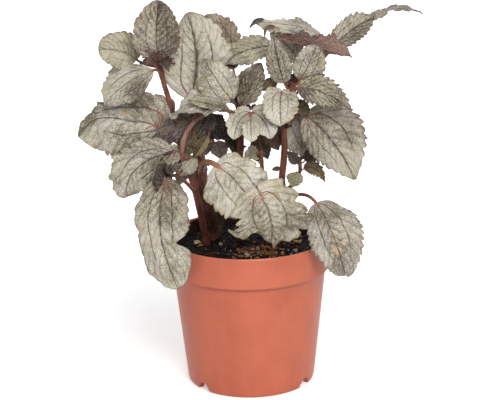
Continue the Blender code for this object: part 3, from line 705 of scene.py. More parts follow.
# the colours in leafColours and the shares in leafShares
leafLooks = {
    "silver": ((0.63, 0.59, 0.5), (0.115, 0.092, 0.06), (0.055, 0.038, 0.024), (0.36, 0.26, 0.12),
        (0.16, 0.11, 0.07), 0.6, 0.05, 0.9, 0.36, 0.06),
    "grey": ((0.54, 0.495, 0.41), (0.095, 0.073, 0.048), (0.045, 0.03, 0.022), (0.28, 0.185, 0.085),
        (0.11, 0.07, 0.05), 0.65, 0.06, 0.9, 0.34, 0.08),
    "pale": ((0.69, 0.65, 0.56), (0.17, 0.14, 0.095), (0.08, 0.06, 0.036), (0.48, 0.4, 0.18),
        (0.4, 0.32, 0.14), 0.65, 0.07, 0.8, 0.42, 0.05),
    "spotted": ((0.6, 0.55, 0.475), (0.12, 0.096, 0.068), (0.055, 0.038, 0.024), (0.7, 0.5, 0.29),
        (0.16, 0.11, 0.07), 0.2, 0.05, 0.9, 0.36, 0.06),
    "tawny": ((0.52, 0.43, 0.34), (0.12, 0.078, 0.052), (0.075, 0.048, 0.032), (0.36, 0.24, 0.15),
        (0.3, 0.19, 0.12), 0.6, 0.16, 0.7, 0.3, 0.14),
    "worn": ((0.65, 0.61, 0.51), (0.15, 0.118, 0.075), (0.08, 0.06, 0.036), (0.43, 0.34, 0.15),
        (0.36, 0.28, 0.16), 0.85, 0.07, 0.75, 0.38, 0.06),
    "mossy": ((0.565, 0.525, 0.415), (0.165, 0.14, 0.08), (0.1, 0.08, 0.045), (0.34, 0.32, 0.12),
        (0.2, 0.15, 0.09), 0.8, 0.06, 0.6, 0.36, 0.1),
    "olive": ((0.42, 0.385, 0.26), (0.13, 0.108, 0.055), (0.08, 0.06, 0.03), (0.33, 0.27, 0.07),
        (0.15, 0.1, 0.05), 0.7, 0.08, 0.6, 0.34, 0.12),
    "gilded": ((0.34, 0.28, 0.15), (0.045, 0.03, 0.017), (0.05, 0.035, 0.02), (0.26, 0.17, 0.04),
        (0.08, 0.05, 0.025), 0.8, 0.1, 0.6, 0.12, 0.16),
    "rusty": ((0.54, 0.48, 0.39), (0.085, 0.066, 0.044), (0.06, 0.044, 0.03), (0.3, 0.2, 0.11),
        (0.26, 0.17, 0.11), 0.5, 0.16, 0.8, 0.26, 0.14),
    "striped": ((0.54, 0.49, 0.38), (0.07, 0.05, 0.033), (0.05, 0.033, 0.022), (0.25, 0.18, 0.07),
        (0.08, 0.052, 0.036), 0.55, 0.08, 0.85, 0.3, 0.13),
    "dark": ((0.235, 0.195, 0.155), (0.03, 0.02, 0.017), (0.02, 0.013, 0.01), (0.18, 0.11, 0.04),
        (0.05, 0.03, 0.02), 0.45, 0.1, 0.7, 0.2, 0.14),
    "purple": ((0.3, 0.25, 0.235), (0.046, 0.03, 0.029), (0.04, 0.025, 0.022), (0.21, 0.135, 0.03),
        (0.06, 0.038, 0.03), 0.8, 0.08, 0.5, 0.2, 0.12),
    "maroonBack": ((0.3, 0.185, 0.155), (0.07, 0.034, 0.028), (0.24, 0.1, 0.07), (0.2, 0.12, 0.07),
        (0.12, 0.065, 0.045), 0.55, 0.08, 0.55, 0.18, 0.12),
}


def makeLeafMaterials():
    group = makeLeafGroup()
    made = {}
    for name, row in leafLooks.items():
        material, tree, shader = newMaterial(name + "Leaf")
        leaf = addNode(tree, "Group", {}, node_tree=group)
        feed(tree, dict(zip(leafColours + leafShares, row)), leaf)
        colour, rough, height = leaf.outputs
        finishMaterial(tree, shader, colour, rough, 0.4, height, 0.0004, 0.8)
        made[name] = material
    return made


# light and shade colours and roughness
stemLooks = {
    "redStem": ((0.27, 0.085, 0.052), (0.085, 0.028, 0.020), 0.40),
    "darkStem": ((0.30, 0.125, 0.085), (0.078, 0.034, 0.025), 0.45),
    "petiole": ((0.36, 0.15, 0.095), (0.15, 0.055, 0.036), 0.40),
    "pinkPetiole": ((0.37, 0.19, 0.15), (0.17, 0.075, 0.06), 0.40),
    "ochrePetiole": ((0.44, 0.21, 0.11), (0.21, 0.08, 0.045), 0.38),
    "tanPetiole": ((0.45, 0.33, 0.20), (0.24, 0.13, 0.07), 0.45),
}


def makeStemMaterials():
    made = {}
    for name, (light, shade, rough) in stemLooks.items():
        material, tree, shader = newMaterial(name)
        streak = noiseTexture(tree, 160.0, 4.0, 0.6, stretch=(3.0, 3.0, 0.5))
        share = weighted(tree, (noiseTexture(tree, 90.0, 3.0, 0.5), 0.4), (streak, 0.6))
        colour = mixColour(tree, ramp(tree, share, 0.35, 0.65), shade, light)
        rough = ramp(tree, streak, 0.3, 0.7, rough + 0.15, rough - 0.05)
        finishMaterial(tree, shader, colour, rough, 0.25, streak, 0.0006, 0.7)
        made[name] = material
    return made


# axis points from the soil upwards (mm), radius at the soil and at the top (mm) and how late it tapers,
# heights of the joints (mm)
stems = {
    "stem_main_left": ([(-26, 27, 98), (-30, 19, 122), (-34, 11, 146), (-35, 8, 164), (-36, 6, 186),
        (-38, 5, 206)], (6.2, 1.9, 2.2), (128, 158, 182, 205)),
    "stem_thin_left": ([(-31, 12, 98), (-35, 6, 124), (-40, 1, 150), (-47, 0, 174), (-53, 0, 203),
        (-59, 0, 226), (-62, 0, 240)], (2.6, 1.7, 1.0), (146, 166, 190, 232, 240)),
    "stem_centre": ([(-6, 16, 98), (-7, 14, 132), (-5, 12, 168), (-4, 8, 190), (-6, 4, 210)],
        (2.8, 2.1, 1.0), (140, 172, 205)),
    "stem_thin_centre": ([(13, 12, 98), (12, 9, 134), (10, 6, 168), (8, 4, 190), (5, 2, 205)],
        (1.7, 1.3, 1.0), (126, 164, 187, 200)),
    "stem_right": ([(24, 14, 98), (25, 8, 130), (25, 4, 150), (27, 2, 172), (27, 1, 196), (33, 0, 224)],
        (2.9, 2.1, 1.0), (134, 144, 190, 212, 222)),
    "side_shoot": ([(28.6, 2.5, 143), (35, 1, 149), (38, 0, 157), (38, 0, 166)], (1.5, 1.2, 1.0),
        (160, 166)),
    "arched_shoot": ([(-37, 2, 167), (-41, -5, 170), (-46, -11, 174), (-46, -14, 182), (-43, -14, 191),
        (-36, -14, 200), (-26, -13, 206)], (2.3, 1.5, 1.0), ()),
}


def stemAxis(name, steps):
    return smoothPath([Vector(point) * mm for point in stems[name][0]], steps)


def stemRadius(name, share):
    low, high, taper = stems[name][1]
    return low + (high - low) * share**taper


def stemAt(name, height):
    axis = stemAxis(name, 3)
    count = len(axis) - 1
    for index in range(count):
        near, far = axis[index], axis[index + 1]
        if far.z >= height or index == count - 1:
            share = (height - near.z) / (far.z - near.z)
            radius = 0.0 if share > 1 else stemRadius(name, index / count) * mm
            return near.lerp(far, share), (far - near).normalized(), radius


def buildStem(name, materials):
    shape = bmesh.new()
    centres = stemAxis(name, 12)
    radii = []
    for index, centre in enumerate(centres):
        radius = stemRadius(name, index / (len(centres) - 1))
        for joint in stems[name][2]:  # a stem swells a little where leaves leave it
            radius *= 1 + 0.16 * math.exp(-((centre.z / mm - joint) / 2.2) ** 2)
        if name == "stem_thin_left":  # broadens under its crown of buds
            radius *= 1 + 0.9 * math.exp(-((centre.z / mm - 239) / 4) ** 2)
        radii.append(radius * mm)
    if not name.endswith("shoot"):  # shoots grow from another stem, not from the soil
        centres.insert(0, centres[0] - Vector((0, 0, 12 * mm)))
        radii.insert(0, radii[0])
    addTube(shape, centres, radii, 18, Vector((1, 0, 0)))
    shape.normal_update()
    for vert in shape.verts:  # old stems are not perfectly round
        vert.co += vert.normal * 0.00018 * noise.noise(vert.co / 0.004)
    look = {"stem_main_left": "darkStem", "arched_shoot": "pinkPetiole"}.get(name, "redStem")
    finishPiece(name + "_grown", shape, [materials[look]], name, 60)


plainTraits = {
    "widest": 0.42,  # share of the length where the blade is widest
    "base": 0.55,  # under 1 is blunt
    "tip": 0.75,
    "heart": 0.08,  # how far the base reaches back beside the petiole, share of the half width
    "lean": 0.0,  # right half wider than the left
    "skew": 0.0,  # right half widest nearer the base than the left
    "drift": 0.0,  # how far the midrib runs off to the right near the tip
    "jag": 0.05,  # how ragged the margin is
    "curl": 0.0,  # margins towards the face, share of the half width
    "sharp": 0.5,  # teeth from round to pointed
    "quilt": 1.0,  # depth of the quilting
    "cells": 4.0,  # size of the quilting (mm)
    "tones": (0.0, 0.0, 0.0),  # painted light and shade: lighter or darker right half, left half and tip
    "notch": (0, 0.5, 0.0, 0.05),  # side, share of the length, depth and half height as shares
    "dried": (),  # dried spots: share of the length, place across, half width (mm)
    "back": "maroonBack",
    "petioleLook": "petiole",
}

# a row of leaves or innerLeaves: the stem and the height the petiole leaves it at, midrib base, middle and
# tip, width, the way the upper side faces, fold in degrees and petiole radius (all mm), the look of the upper
# side, teeth a side and their depth, wave and crinkle, then what sets the leaf apart from a plain one
leafColumns = ("stem", "height", "start", "middle", "end", "width", "face", "fold", "petiole", "look",
               "teeth", "toothDepth", "wave", "crinkle")

leaves = {
    "leaf_top_left": ("stem_thin_left", 241.2, (-62, -3, 246), (-62, -8, 264), (-60, -6, 285), 33,
        (0.05, -1, 0.2), 14, 1.2, "rusty", 12, 0.07, 0.5, 0.4, {"widest": 0.4, "tip": 0.55, "heart": 0.15,
        "sharp": 0.3, "quilt": 1.6, "tones": (-0.26, 0.02, 0.0)}),
    "leaf_left_small": ("stem_thin_left", 236, (-78, 2, 242), (-88, 0, 248), (-104, 0, 250), 26,
        (-0.1, -1, 0.35), 10, 1.0, "mossy", 8, 0.08, 0.8, 0.5, {"widest": 0.5, "tip": 0.45, "curl": 0.12,
        "sharp": 0.2}),
    "leaf_left_folded": ("stem_thin_left", 229, (-66, -11, 236), (-87, -20, 227), (-100, -21, 213), 29,
        (-0.1, -1, 0.4), -20, 1.1, "silver", 9, 0.07, 1.0, 0.8, {"widest": 0.45, "tip": 0.8, "lean": 0.14,
        "jag": 0.1, "sharp": 0.7, "quilt": 1.2, "tones": (0.12, -0.1, 0.0)}),
    "leaf_left_big": ("stem_thin_left", 190, (-65, -5, 194), (-92, -9, 199), (-120, -7, 187), 47,
        (-0.1, -1, 0.3), 6, 1.5, "silver", 12, 0.08, 1.2, 0.8, {"widest": 0.38, "base": 0.35, "tip": 0.55,
        "heart": 0.4, "skew": 0.45, "drift": 0.55, "jag": 0.1, "curl": -0.1, "cells": 5.2,
        "tones": (-0.14, -0.08, 0.06), "dried": ((0.4, 0.28, 2.6), (0.27, 0.22, 1.2), (0.88, -0.8, 1.8))}),
    "leaf_top_centre": ("stem_main_left", 206.6, (-39, 4, 214), (-35, 7, 243), (-41, 12, 272.5), 50,
        (0, -1, 0.2), 6, 1.5, "silver", 14, 0.06, 1.0, 0.6, {"base": 0.65, "tip": 0.65, "heart": 0.15,
        "skew": -0.2, "jag": 0.08, "curl": -0.08, "quilt": 1.6, "cells": 5.0, "tones": (0.2, 0.16, 0.04)}),
    "leaf_brown_edge": ("stem_centre", 206, (-9, 16, 231), (-17, 20, 252), (-28, 21, 269), 25,
        (0.3, -1, 0.2), 10, 0.9, "tawny", 10, 0.12, 0.8, 0.6, {"tip": 0.6, "jag": 0.1, "quilt": 1.6}),
    "leaf_centre_light": ("stem_centre", 207, (-11, -3, 213), (-20, -7, 226), (-29, -8, 243), 28,
        (-0.1, -1, 0.2), 6, 1.1, "pale", 9, 0.06, 0.6, 0.4, {"tip": 0.6, "heart": 0.15, "cells": 4.8,
        "tones": (0.1, -0.08, -0.08)}),
    "leaf_centre_edge_on": ("stem_centre", 201, (-12, -11, 206.5), (-32, -22, 214), (-54, -25, 205), 24,
        (0, -0.45, 1), -8, 1.0, "silver", 9, 0.09, 1.0, 0.7, {"jag": 0.1, "curl": 0.2, "quilt": 1.2}),
    "leaf_top_grooved": ("stem_right", 213, (20, 14, 247), (2, 11, 245), (-17, 8, 237), 20, (0, -1, 0.35), 6,
        0.9, "mossy", 9, 0.1, 0.8, 0.6, {"widest": 0.5, "tip": 0.7, "jag": 0.1, "curl": -0.2, "quilt": 1.6,
        "tones": (0.04, 0.12, 0.04)}),
    "leaf_centre_dark": ("stem_centre", 209, (-3, -3, 208), (4, -8, 223), (12, -7, 239), 17, (0.2, -1, 0.1),
        10, 0.8, "striped", 8, 0.12, 0.6, 0.5, {"widest": 0.5, "tip": 0.9, "sharp": 0.9, "quilt": 1.8,
        "tones": (-0.1, -0.16, 0.0)}),
    "leaf_top_curled": ("stem_right", 219, (54, 14, 254), (35, 13, 262), (6, 13, 265), 17, (0, -0.8, 0.6),
        -14, 0.9, "silver", 12, 0.12, 1.0, 0.6, {"widest": 0.4, "tip": 0.8, "jag": 0.12, "curl": -0.12,
        "sharp": 0.9, "quilt": 1.3, "tones": (0.05, 0.1, 0.0)}),
    "leaf_maroon_back": ("stem_right", 216, (29, -4, 255), (53, -5, 249), (76, -4, 242), 14, (0, 0.9, 0.5),
        12, 0.8, "silver", 11, 0.08, 0.8, 0.5, {"widest": 0.55, "tip": 0.8, "jag": 0.2, "curl": 0.25,
        "quilt": 1.6, "tones": (0.1, -0.1, 0.12)}),
    "leaf_right_round": ("stem_right", 217, (39, -8, 227), (45, -15, 240), (50, -16, 253), 22,
        (0.1, -1, 0.2), 8, 0.9, "silver", 8, 0.08, 0.5, 0.4, {"widest": 0.5, "tip": 0.5, "sharp": 0.2}),
    "leaf_right_upright": ("stem_right", 217, (27, -6, 225), (23, -11, 241), (20, -12, 259), 17,
        (0, -1, 0.1), 20, 0.9, "silver", 10, 0.1, 0.6, 0.5, {"widest": 0.45, "tip": 0.65, "quilt": 2.2,
        "tones": (0.08, 0.02, 0.0)}),
    "leaf_right_toothed": ("stem_right", 211, (37, -13, 222), (55, -21, 220), (73, -24, 208), 21,
        (0.05, -1, 0.45), 8, 1.1, "striped", 12, 0.16, 0.6, 0.4, {"widest": 0.4, "sharp": 1.0, "quilt": 1.4,
        "tones": (-0.08, 0.0, 0.0)}),
    "leaf_right_dark": ("stem_right", 207, (35, -5, 209), (40, -8, 206), (44, -9, 200), 10, (0, -1, 0.2), 6,
        0.8, "gilded", 7, 0.14, 0.4, 0.3),
    "leaf_far_right": ("stem_right", 210, (61, 5, 246), (76, 6, 259), (92, 6, 268), 19, (-0.2, -1, 0.3), 10,
        0.9, "grey", 10, 0.12, 0.6, 0.4, {"widest": 0.5, "tip": 0.6, "sharp": 0.9, "quilt": 1.4,
        "tones": (-0.1, 0.1, 0.04)}),
    "leaf_far_tail": ("stem_right", 203, (86, 22, 263), (108, 22, 272.5), (128, 18, 268), 16, (0, -0.15, 1),
        -6, 0.9, "grey", 11, 0.14, 0.5, 0.4, {"widest": 0.3, "tip": 1.1, "sharp": 1.0}),
    "leaf_low_left": ("stem_thin_left", 178, (-55, -16, 177), (-79, -25, 168), (-87, -29, 148), 35,
        (-0.15, -1, 0.2), 3, 1.3, "silver", 9, 0.1, 1.4, 1.2, {"tip": 0.5, "heart": 0.2, "jag": 0.14,
        "curl": -0.12, "sharp": 0.6, "cells": 5.2, "tones": (0.05, -0.1, -0.04)}),
    "leaf_dark_curl": ("stem_thin_left", 165, (-54, -25, 163), (-59, -31, 167), (-57, -30, 173), 17,
        (0.1, -1, -0.2), 25, 0.8, "dark", 6, 0.12, 1.0, 0.8, {"jag": 0.15, "curl": 0.5}),
    "leaf_purple_back": ("stem_main_left", 193, (-35, -5, 203), (-50, -8, 194), (-69, -13, 183), 20,
        (0.2, 1, 0.3), 6, 1.2, "silver", 9, 0.08, 0.8, 0.6, {"widest": 0.45, "tip": 0.8, "jag": 0.1,
        "curl": -0.15, "back": "purple"}),
    "leaf_inner_dark": ("stem_main_left", 198, (-30, 11, 198), (-24, 13, 189), (-11, 11, 180), 20,
        (0, -1, 0), 6, 0.9, "dark", 9, 0.1, 1.0, 0.8),
    "leaf_inner_narrow": ("stem_main_left", 171, (-23, 2, 179), (-20, 3, 174), (-18, 2, 166), 13, (0, -1, 0),
        6, 0.8, "dark", 8, 0.12, 0.6, 0.5),
    "leaf_green_stripe": ("stem_main_left", 183, (-28, -9, 187), (-33, -10, 180), (-39, -9, 171), 9,
        (0, -1, 0.3), 18, 0.7, "gilded", 6, 0.12, 0.3, 0.3, {"widest": 0.45, "tip": 0.9, "quilt": 1.6,
        "tones": (-0.16, 0.16, 0.0)}),
    "leaf_front_centre": ("stem_main_left", 153, (-19, -34, 170), (-4, -43, 157), (8, -42, 136), 43,
        (-0.1, -1, 0.4), 6, 2.2, "pale", 10, 0.07, 1.6, 1.5, {"base": 0.35, "tip": 0.5, "heart": 0.25,
        "lean": 0.1, "jag": 0.12, "curl": -0.1, "quilt": 1.3, "cells": 5.4, "tones": (0.02, 0.0, -0.08),
        "petioleLook": "ochrePetiole"}),
    "leaf_front_crinkled": ("stem_right", 142, (10, -49, 152), (16, -53, 136), (16, -50, 120), 50,
        (0.1, -1, 0.35), 3, 1.3, "worn", 6, 0.16, 2.2, 3.8, {"base": 0.35, "tip": 0.4, "heart": 0.4,
        "jag": 0.2, "curl": -0.05, "sharp": 0.0, "quilt": 2.4, "cells": 5.0, "tones": (0.0, -0.04, -0.05),
        "petioleLook": "tanPetiole"}),
    "leaf_cluster_left": ("stem_centre", 205, (1, -9, 203), (-6, -16, 198), (-9, -20, 187), 16,
        (-0.1, -1, 0.5), 10, 0.8, "pale", 4, 0.2, 0.4, 0.3, {"widest": 0.4, "base": 0.4, "tip": 0.6,
        "heart": 0.45, "sharp": 0.4, "tones": (0.14, 0.08, 0.12)}),
    "leaf_cluster_middle": ("stem_thin_centre", 197, (3, -17, 202), (3, -26, 194), (3, -30, 187.5), 12,
        (0, -1, 0.5), 10, 0.8, "pale", 4, 0.2, 0.3, 0.3, {"widest": 0.44, "tip": 0.6, "heart": 0.25,
        "tones": (0.14, 0.14, 0.12)}),
    "leaf_cluster_right": ("stem_thin_centre", 202, (6, -8, 203), (12.5, -15, 198.5), (17, -20, 187), 19,
        (0.1, -1, 0.5), 10, 0.8, "pale", 4, 0.2, 0.4, 0.3, {"widest": 0.4, "base": 0.4, "tip": 0.6,
        "heart": 0.4, "sharp": 0.4, "tones": (0.06, 0.18, 0.12)}),
    "leaf_over_stem": ("stem_right", 208, (25, -10, 217), (24, -20, 209), (24.5, -23, 197), 25, (0, -1, 0.5),
        8, 1.0, "pale", 8, 0.12, 0.6, 0.5, {"widest": 0.4, "base": 0.4, "tip": 0.6, "heart": 0.5,
        "sharp": 0.3, "tones": (0.14, 0.08, 0.04)}),
    "leaf_right_big": ("stem_right", 192, (45, -4, 198), (63, -10, 179), (77, -10, 153), 43, (0.1, -1, 0.3),
        8, 1.5, "grey", 12, 0.1, 1.2, 0.8, {"widest": 0.36, "tip": 0.8, "heart": 0.2, "lean": -0.18,
        "curl": -0.08, "sharp": 0.7, "cells": 5.0, "tones": (0.1, 0.04, 0.1)}),
    "leaf_right_behind": ("stem_right", 190, (35, 13, 197), (43, 15, 181), (50, 14, 160), 34, (0, -1, 0.1),
        6, 0.9, "pale", 8, 0.1, 0.8, 0.6, {"widest": 0.45, "tip": 0.7}),
    "leaf_shoot_dark": ("side_shoot", 164, (36, -4, 164), (33, -6, 169), (29, -6, 174), 8, (0, -1, 0.2), 10,
        0.6, "dark", 6, 0.12, 0.3, 0.2, {"tip": 0.9, "sharp": 0.8}),
    "leaf_shoot_yellow": ("side_shoot", 163, (42, 0, 165), (46, 0, 169), (51, 0, 173), 9, (0, -1, 0.3), 8,
        0.6, "gilded", 5, 0.12, 0.3, 0.2),
    "leaf_shoot_brown": ("side_shoot", 157, (41, -2, 159.5), (49, -3, 159.5), (56, -3, 149.5), 10,
        (0, -1, 0.4), 8, 0.6, "gilded", 7, 0.22, 0.3, 0.3, {"tip": 1.0, "sharp": 1.0, "quilt": 1.6}),
    "leaf_shoot_green": ("side_shoot", 154, (35, -4, 157), (34, -6, 153), (32, -6, 147), 12, (0, -1, 0.3), 8,
        0.6, "olive", 6, 0.12, 0.3, 0.3),
    "leaf_back_dark": ("stem_thin_centre", 186, (6, 12, 180), (11, 14, 174), (15, 13, 163), 13, (0, -1, 0),
        6, 0.7, "dark", 7, 0.12, 0.4, 0.3),
    "leaf_hanging_left": ("stem_thin_left", 142, (-59, -36, 158), (-62, -50, 127), (-51, -56, 89), 40,
        (-0.3, -1, 0.2), 6, 1.3, "silver", 13, 0.035, 1.2, 0.9, {"widest": 0.4, "base": 0.4, "tip": 0.36,
        "heart": 0.35, "lean": -0.1, "jag": 0.06, "curl": -0.12, "quilt": 0.8, "cells": 5.4,
        "tones": (0.09, 0.0, 0.14), "notch": (-1, 0.62, 0.46, 0.07),
        "dried": ((0.6, -0.42, 1.6), (0.93, 0.2, 1.2))}),
    "leaf_hanging_right": ("stem_right", 134, (49, -30, 141), (60, -46, 122), (68, -48, 93), 39,
        (0.25, -1, 0.2), 6, 1.3, "spotted", 13, 0.07, 0.9, 0.6, {"widest": 0.5, "base": 0.5, "tip": 0.5,
        "lean": -0.08, "curl": -0.1, "sharp": 0.9, "cells": 5.2, "tones": (-0.04, 0.02, 0.0),
        "dried": ((0.68, 0.08, 3.2), (0.54, 0.04, 1.4), (0.47, -0.12, 1.4), (0.62, -0.26, 1.5))}),
    "leaf_small_yellow": ("stem_thin_centre", 162, (8, 0, 165), (7, -3, 170), (6, -4, 175), 5, (0, -1, 0.2),
        6, 0.5, "gilded", 4, 0.1, 0.2, 0.2),
    "leaf_dead_hanging": ("stem_main_left", 138, (-23, 6, 141), (-21, 4, 127), (-19, 3, 112), 9,
        (0.1, -1, 0), 20, 0.7, "dark", 6, 0.12, 1.0, 0.8),
    "leaf_dark_inner_right": ("stem_right", 185, (24, 9, 189), (24, 11, 181), (22, 10, 172), 8, (0, -1, 0),
        6, 0.6, "dark", 6, 0.12, 0.4, 0.3),
    "leaf_small_tan": ("stem_main_left", 155, (-44, 7, 159), (-48, 6, 154), (-50, 4, 147), 10, (0, -1, 0.4),
        8, 0.6, "olive", 5, 0.1, 0.3, 0.3),
}

# small leaves that have no solid of their own; root is where a petiole starts that leaves no stem (mm)
innerLeaves = {
    "gilded_leaf_left": ("stem_main_left", 160, (-37, -8, 171), (-43, -12, 166), (-49, -12, 158), 13,
        (0, -1, 0.5), -14, 0.8, "mossy", 6, 0.14, 0.8, 0.8),
    "dusky_leaf_left": ("stem_thin_left", 166, (-53, -10, 172), (-57, -16, 168), (-60, -17, 158), 14,
        (0.2, -1, 0.1), 22, 0.8, "purple", 7, 0.14, 1.0, 0.8),
    "dusky_leaf_back": ("stem_thin_left", 176, (-55, 6, 180), (-62, 9, 176), (-68, 9, 168), 17,
        (0.1, -1, 0.2), 8, 0.8, "grey", 7, 0.12, 0.8, 0.8),
    "dusky_leaf_arch": ("stem_main_left", 200, (-27, 0, 203), (-31, -2, 195), (-38, -3, 185), 16,
        (0.1, -1, 0.2), 14, 0.8, "dark", 7, 0.1, 1.0, 0.8),
    "gilded_leaf_arch": ("stem_main_left", 188, (-44, -4, 204), (-47, -7, 199), (-50, -8, 193), 11,
        (0.1, -1, 0.2), 14, 0.7, "gilded", 6, 0.1, 0.6, 0.6),
    "gilded_leaf_low": ("stem_main_left", 182, (-38, -6, 189), (-43, -9, 181), (-45, -9, 170), 13,
        (0.1, -1, 0.1), 14, 0.7, "gilded", 7, 0.12, 0.8, 0.8),
    "grey_leaf_low": ("stem_thin_left", 168, (-48, -12, 172), (-55, -14, 176), (-62, -15, 177), 15,
        (0, -1, 0.2), 8, 0.8, "silver", 6, 0.1, 0.8, 0.6),
    "olive_fold_left": ("stem_centre", 203, (-13, -18, 208), (-27, -26, 215), (-41, -28, 218), 9,
        (0, -1, 0.6), 12, 0.7, "striped", 8, 0.12, 0.6, 0.5),
    "hooked_tip": ("stem_right", 219, (14, 12, 267), (8, 12, 265.5), (3.5, 12, 260.5), 3.0, (0, -1, 0.2), 12,
        0.3, "dark", 4, 0.12, 0.2, 0.1, {"jag": 0.1, "root": (13, 12, 267)}),
    "curled_bract_top": ("stem_right", 219, (22, 10, 261.5), (16, 10, 261), (14, 8, 254), 2.6, (0, -1, 0.2),
        12, 0.3, "maroonBack", 4, 0.12, 0.2, 0.1, {"jag": 0.1, "root": (25, 8, 260)}),
    "curled_bract_low": ("stem_right", 219, (39, 5, 253), (30, 6, 256), (22, 8, 255), 3.4, (0, -1, 0.2), 12,
        0.3, "maroonBack", 5, 0.16, 0.3, 0.2, {"jag": 0.1, "root": (41, 0, 252)}),
    "inner_leaf_low": ("stem_main_left", 184, (-33, 9, 184), (-31, 11, 177), (-30, 9, 168), 15,
        (0.1, -1, 0.1), 10, 0.8, "dark", 8, 0.14, 1.0, 0.8),
    "gilded_leaf_centre": ("stem_centre", 186, (-10, 12, 184), (-9, 14, 176), (-9, 13, 168), 13,
        (-0.2, -1, 0.1), 10, 0.7, "gilded", 8, 0.12, 0.8, 0.6),
    "maroon_leaf_middle": ("stem_thin_centre", 186, (12, 7, 185), (18, 9, 179), (23, 8, 171), 11,
        (0, -1, 0.1), 8, 0.6, "maroonBack", 7, 0.1, 0.6, 0.5, {"back": "purple"}),
    "gilded_leaf_middle": ("stem_thin_centre", 184, (8, 5, 181), (7, 5, 176), (6, 4, 170), 9, (0, -1, 0.1),
        14, 0.6, "gilded", 6, 0.12, 0.6, 0.5),
    "yellow_lobe_middle": ("stem_thin_centre", 172, (7, -6, 172), (4, -18, 176), (-2, -24, 174), 11,
        (0, -1, 0.4), 6, 0.7, "olive", 5, 0.12, 0.6, 0.6),
    "tiny_leaf_right": ("stem_right", 158, (24, 2, 158.5), (21, 2, 158.8), (17.5, 2, 158), 3.6, (0, -1, 0.2),
        6, 0.3, "dark", 3, 0.1, 0.2, 0.2),
    "gilded_leaf_right": ("stem_right", 214, (21, -3, 221), (17, -6, 223), (12, -7, 219), 10,
        (-0.1, -1, 0.3), 12, 0.7, "gilded", 6, 0.14, 0.6, 0.5),
    "grey_leaf_back": ("stem_right", 218, (38, 12, 236), (30, 15, 247), (18, 16, 256), 20, (-0.1, -1, 0.2),
        10, 0.9, "grey", 9, 0.12, 1.0, 0.9),
    "rolled_leaf_centre": ("stem_centre", 208, (-3, 4, 213), (3, 5, 226), (11, 4, 237), 12, (-0.3, -1, 0.1),
        26, 0.7, "rusty", 8, 0.14, 0.8, 0.8),
    "brown_leaf_top": ("stem_thin_left", 238, (-66, 6, 246), (-72, 9, 254), (-74, 10, 264), 13,
        (-0.1, -1, 0.1), 10, 0.8, "rusty", 8, 0.12, 0.6, 0.5),
}

# where buds sit: stem, height, how many, length (mm) and spread (degrees), look
buds = {
    "buds_thin_left_top": ("stem_thin_left", 239.0, 14, 14.0, 84, "dark"),
    "buds_centre_top": ("stem_centre", 207.0, 12, 11.0, 88, "purple"),
    "buds_right_top": ("stem_right", 223.0, 9, 8.5, 75, "purple"),
    "buds_thin_centre_top": ("stem_thin_centre", 203.0, 7, 6.5, 70, "purple"),
    "buds_main_left_top": ("stem_main_left", 205.5, 5, 7.0, 60, "dark"),
    "buds_thin_left_low": ("stem_thin_left", 165.0, 8, 9.5, 80, "purple"),
    "buds_main_left_low": ("stem_main_left", 158.0, 6, 7.5, 75, "dark"),
    "buds_right_low": ("stem_right", 189.0, 5, 6.5, 70, "dark"),
    "buds_centre_low": ("stem_centre", 171.0, 5, 6.0, 75, "purple"),
    "buds_shoot_top": ("side_shoot", 165.0, 5, 5.0, 60, "gilded"),
}
budForm = {"teeth": 5, "toothDepth": 0.16, "wave": 0.4, "crinkle": 0.4, "tip": 0.9, "quilt": 0.8}
budSeed = 3


def halfWidth(share, row):
    swell = 0.0
    if 0.0 < share < row["widest"]:
        swell = math.sin(math.pi / 2 * share / row["widest"]) ** row["base"]
    elif 0.0 < share < 1.0:
        swell = math.cos(math.pi / 2 * (share - row["widest"]) / (1 - row["widest"])) ** row["tip"]
    return row["width"] / 2 * max(swell, 0.04) * mm


def veinDepth(fromRib, along):
    midrib = 1 - smoothStep(0.0, 0.09, fromRib)
    nerve = 1 - smoothStep(0.0, 0.09, abs(fromRib - leafForm["nerveAt"]))
    nerve *= 1 - smoothStep(0.45, 0.85, along)
    beat = abs((along * leafForm["veinCount"] - fromRib * leafForm["veinSlant"]) % 1.0 - 0.5)
    return max(midrib, 0.7 * nerve, 0.6 * smoothStep(0.30, 0.5, beat))


def toothReach(beat, sharp):  # one tooth of the margin, from 0 to 1 along it
    saw = beat / 0.86 if beat < 0.86 else (1 - beat) / 0.14
    scallop = math.sin(math.pi * beat**0.8) ** 0.6
    return sharp * saw + (1 - sharp) * scallop


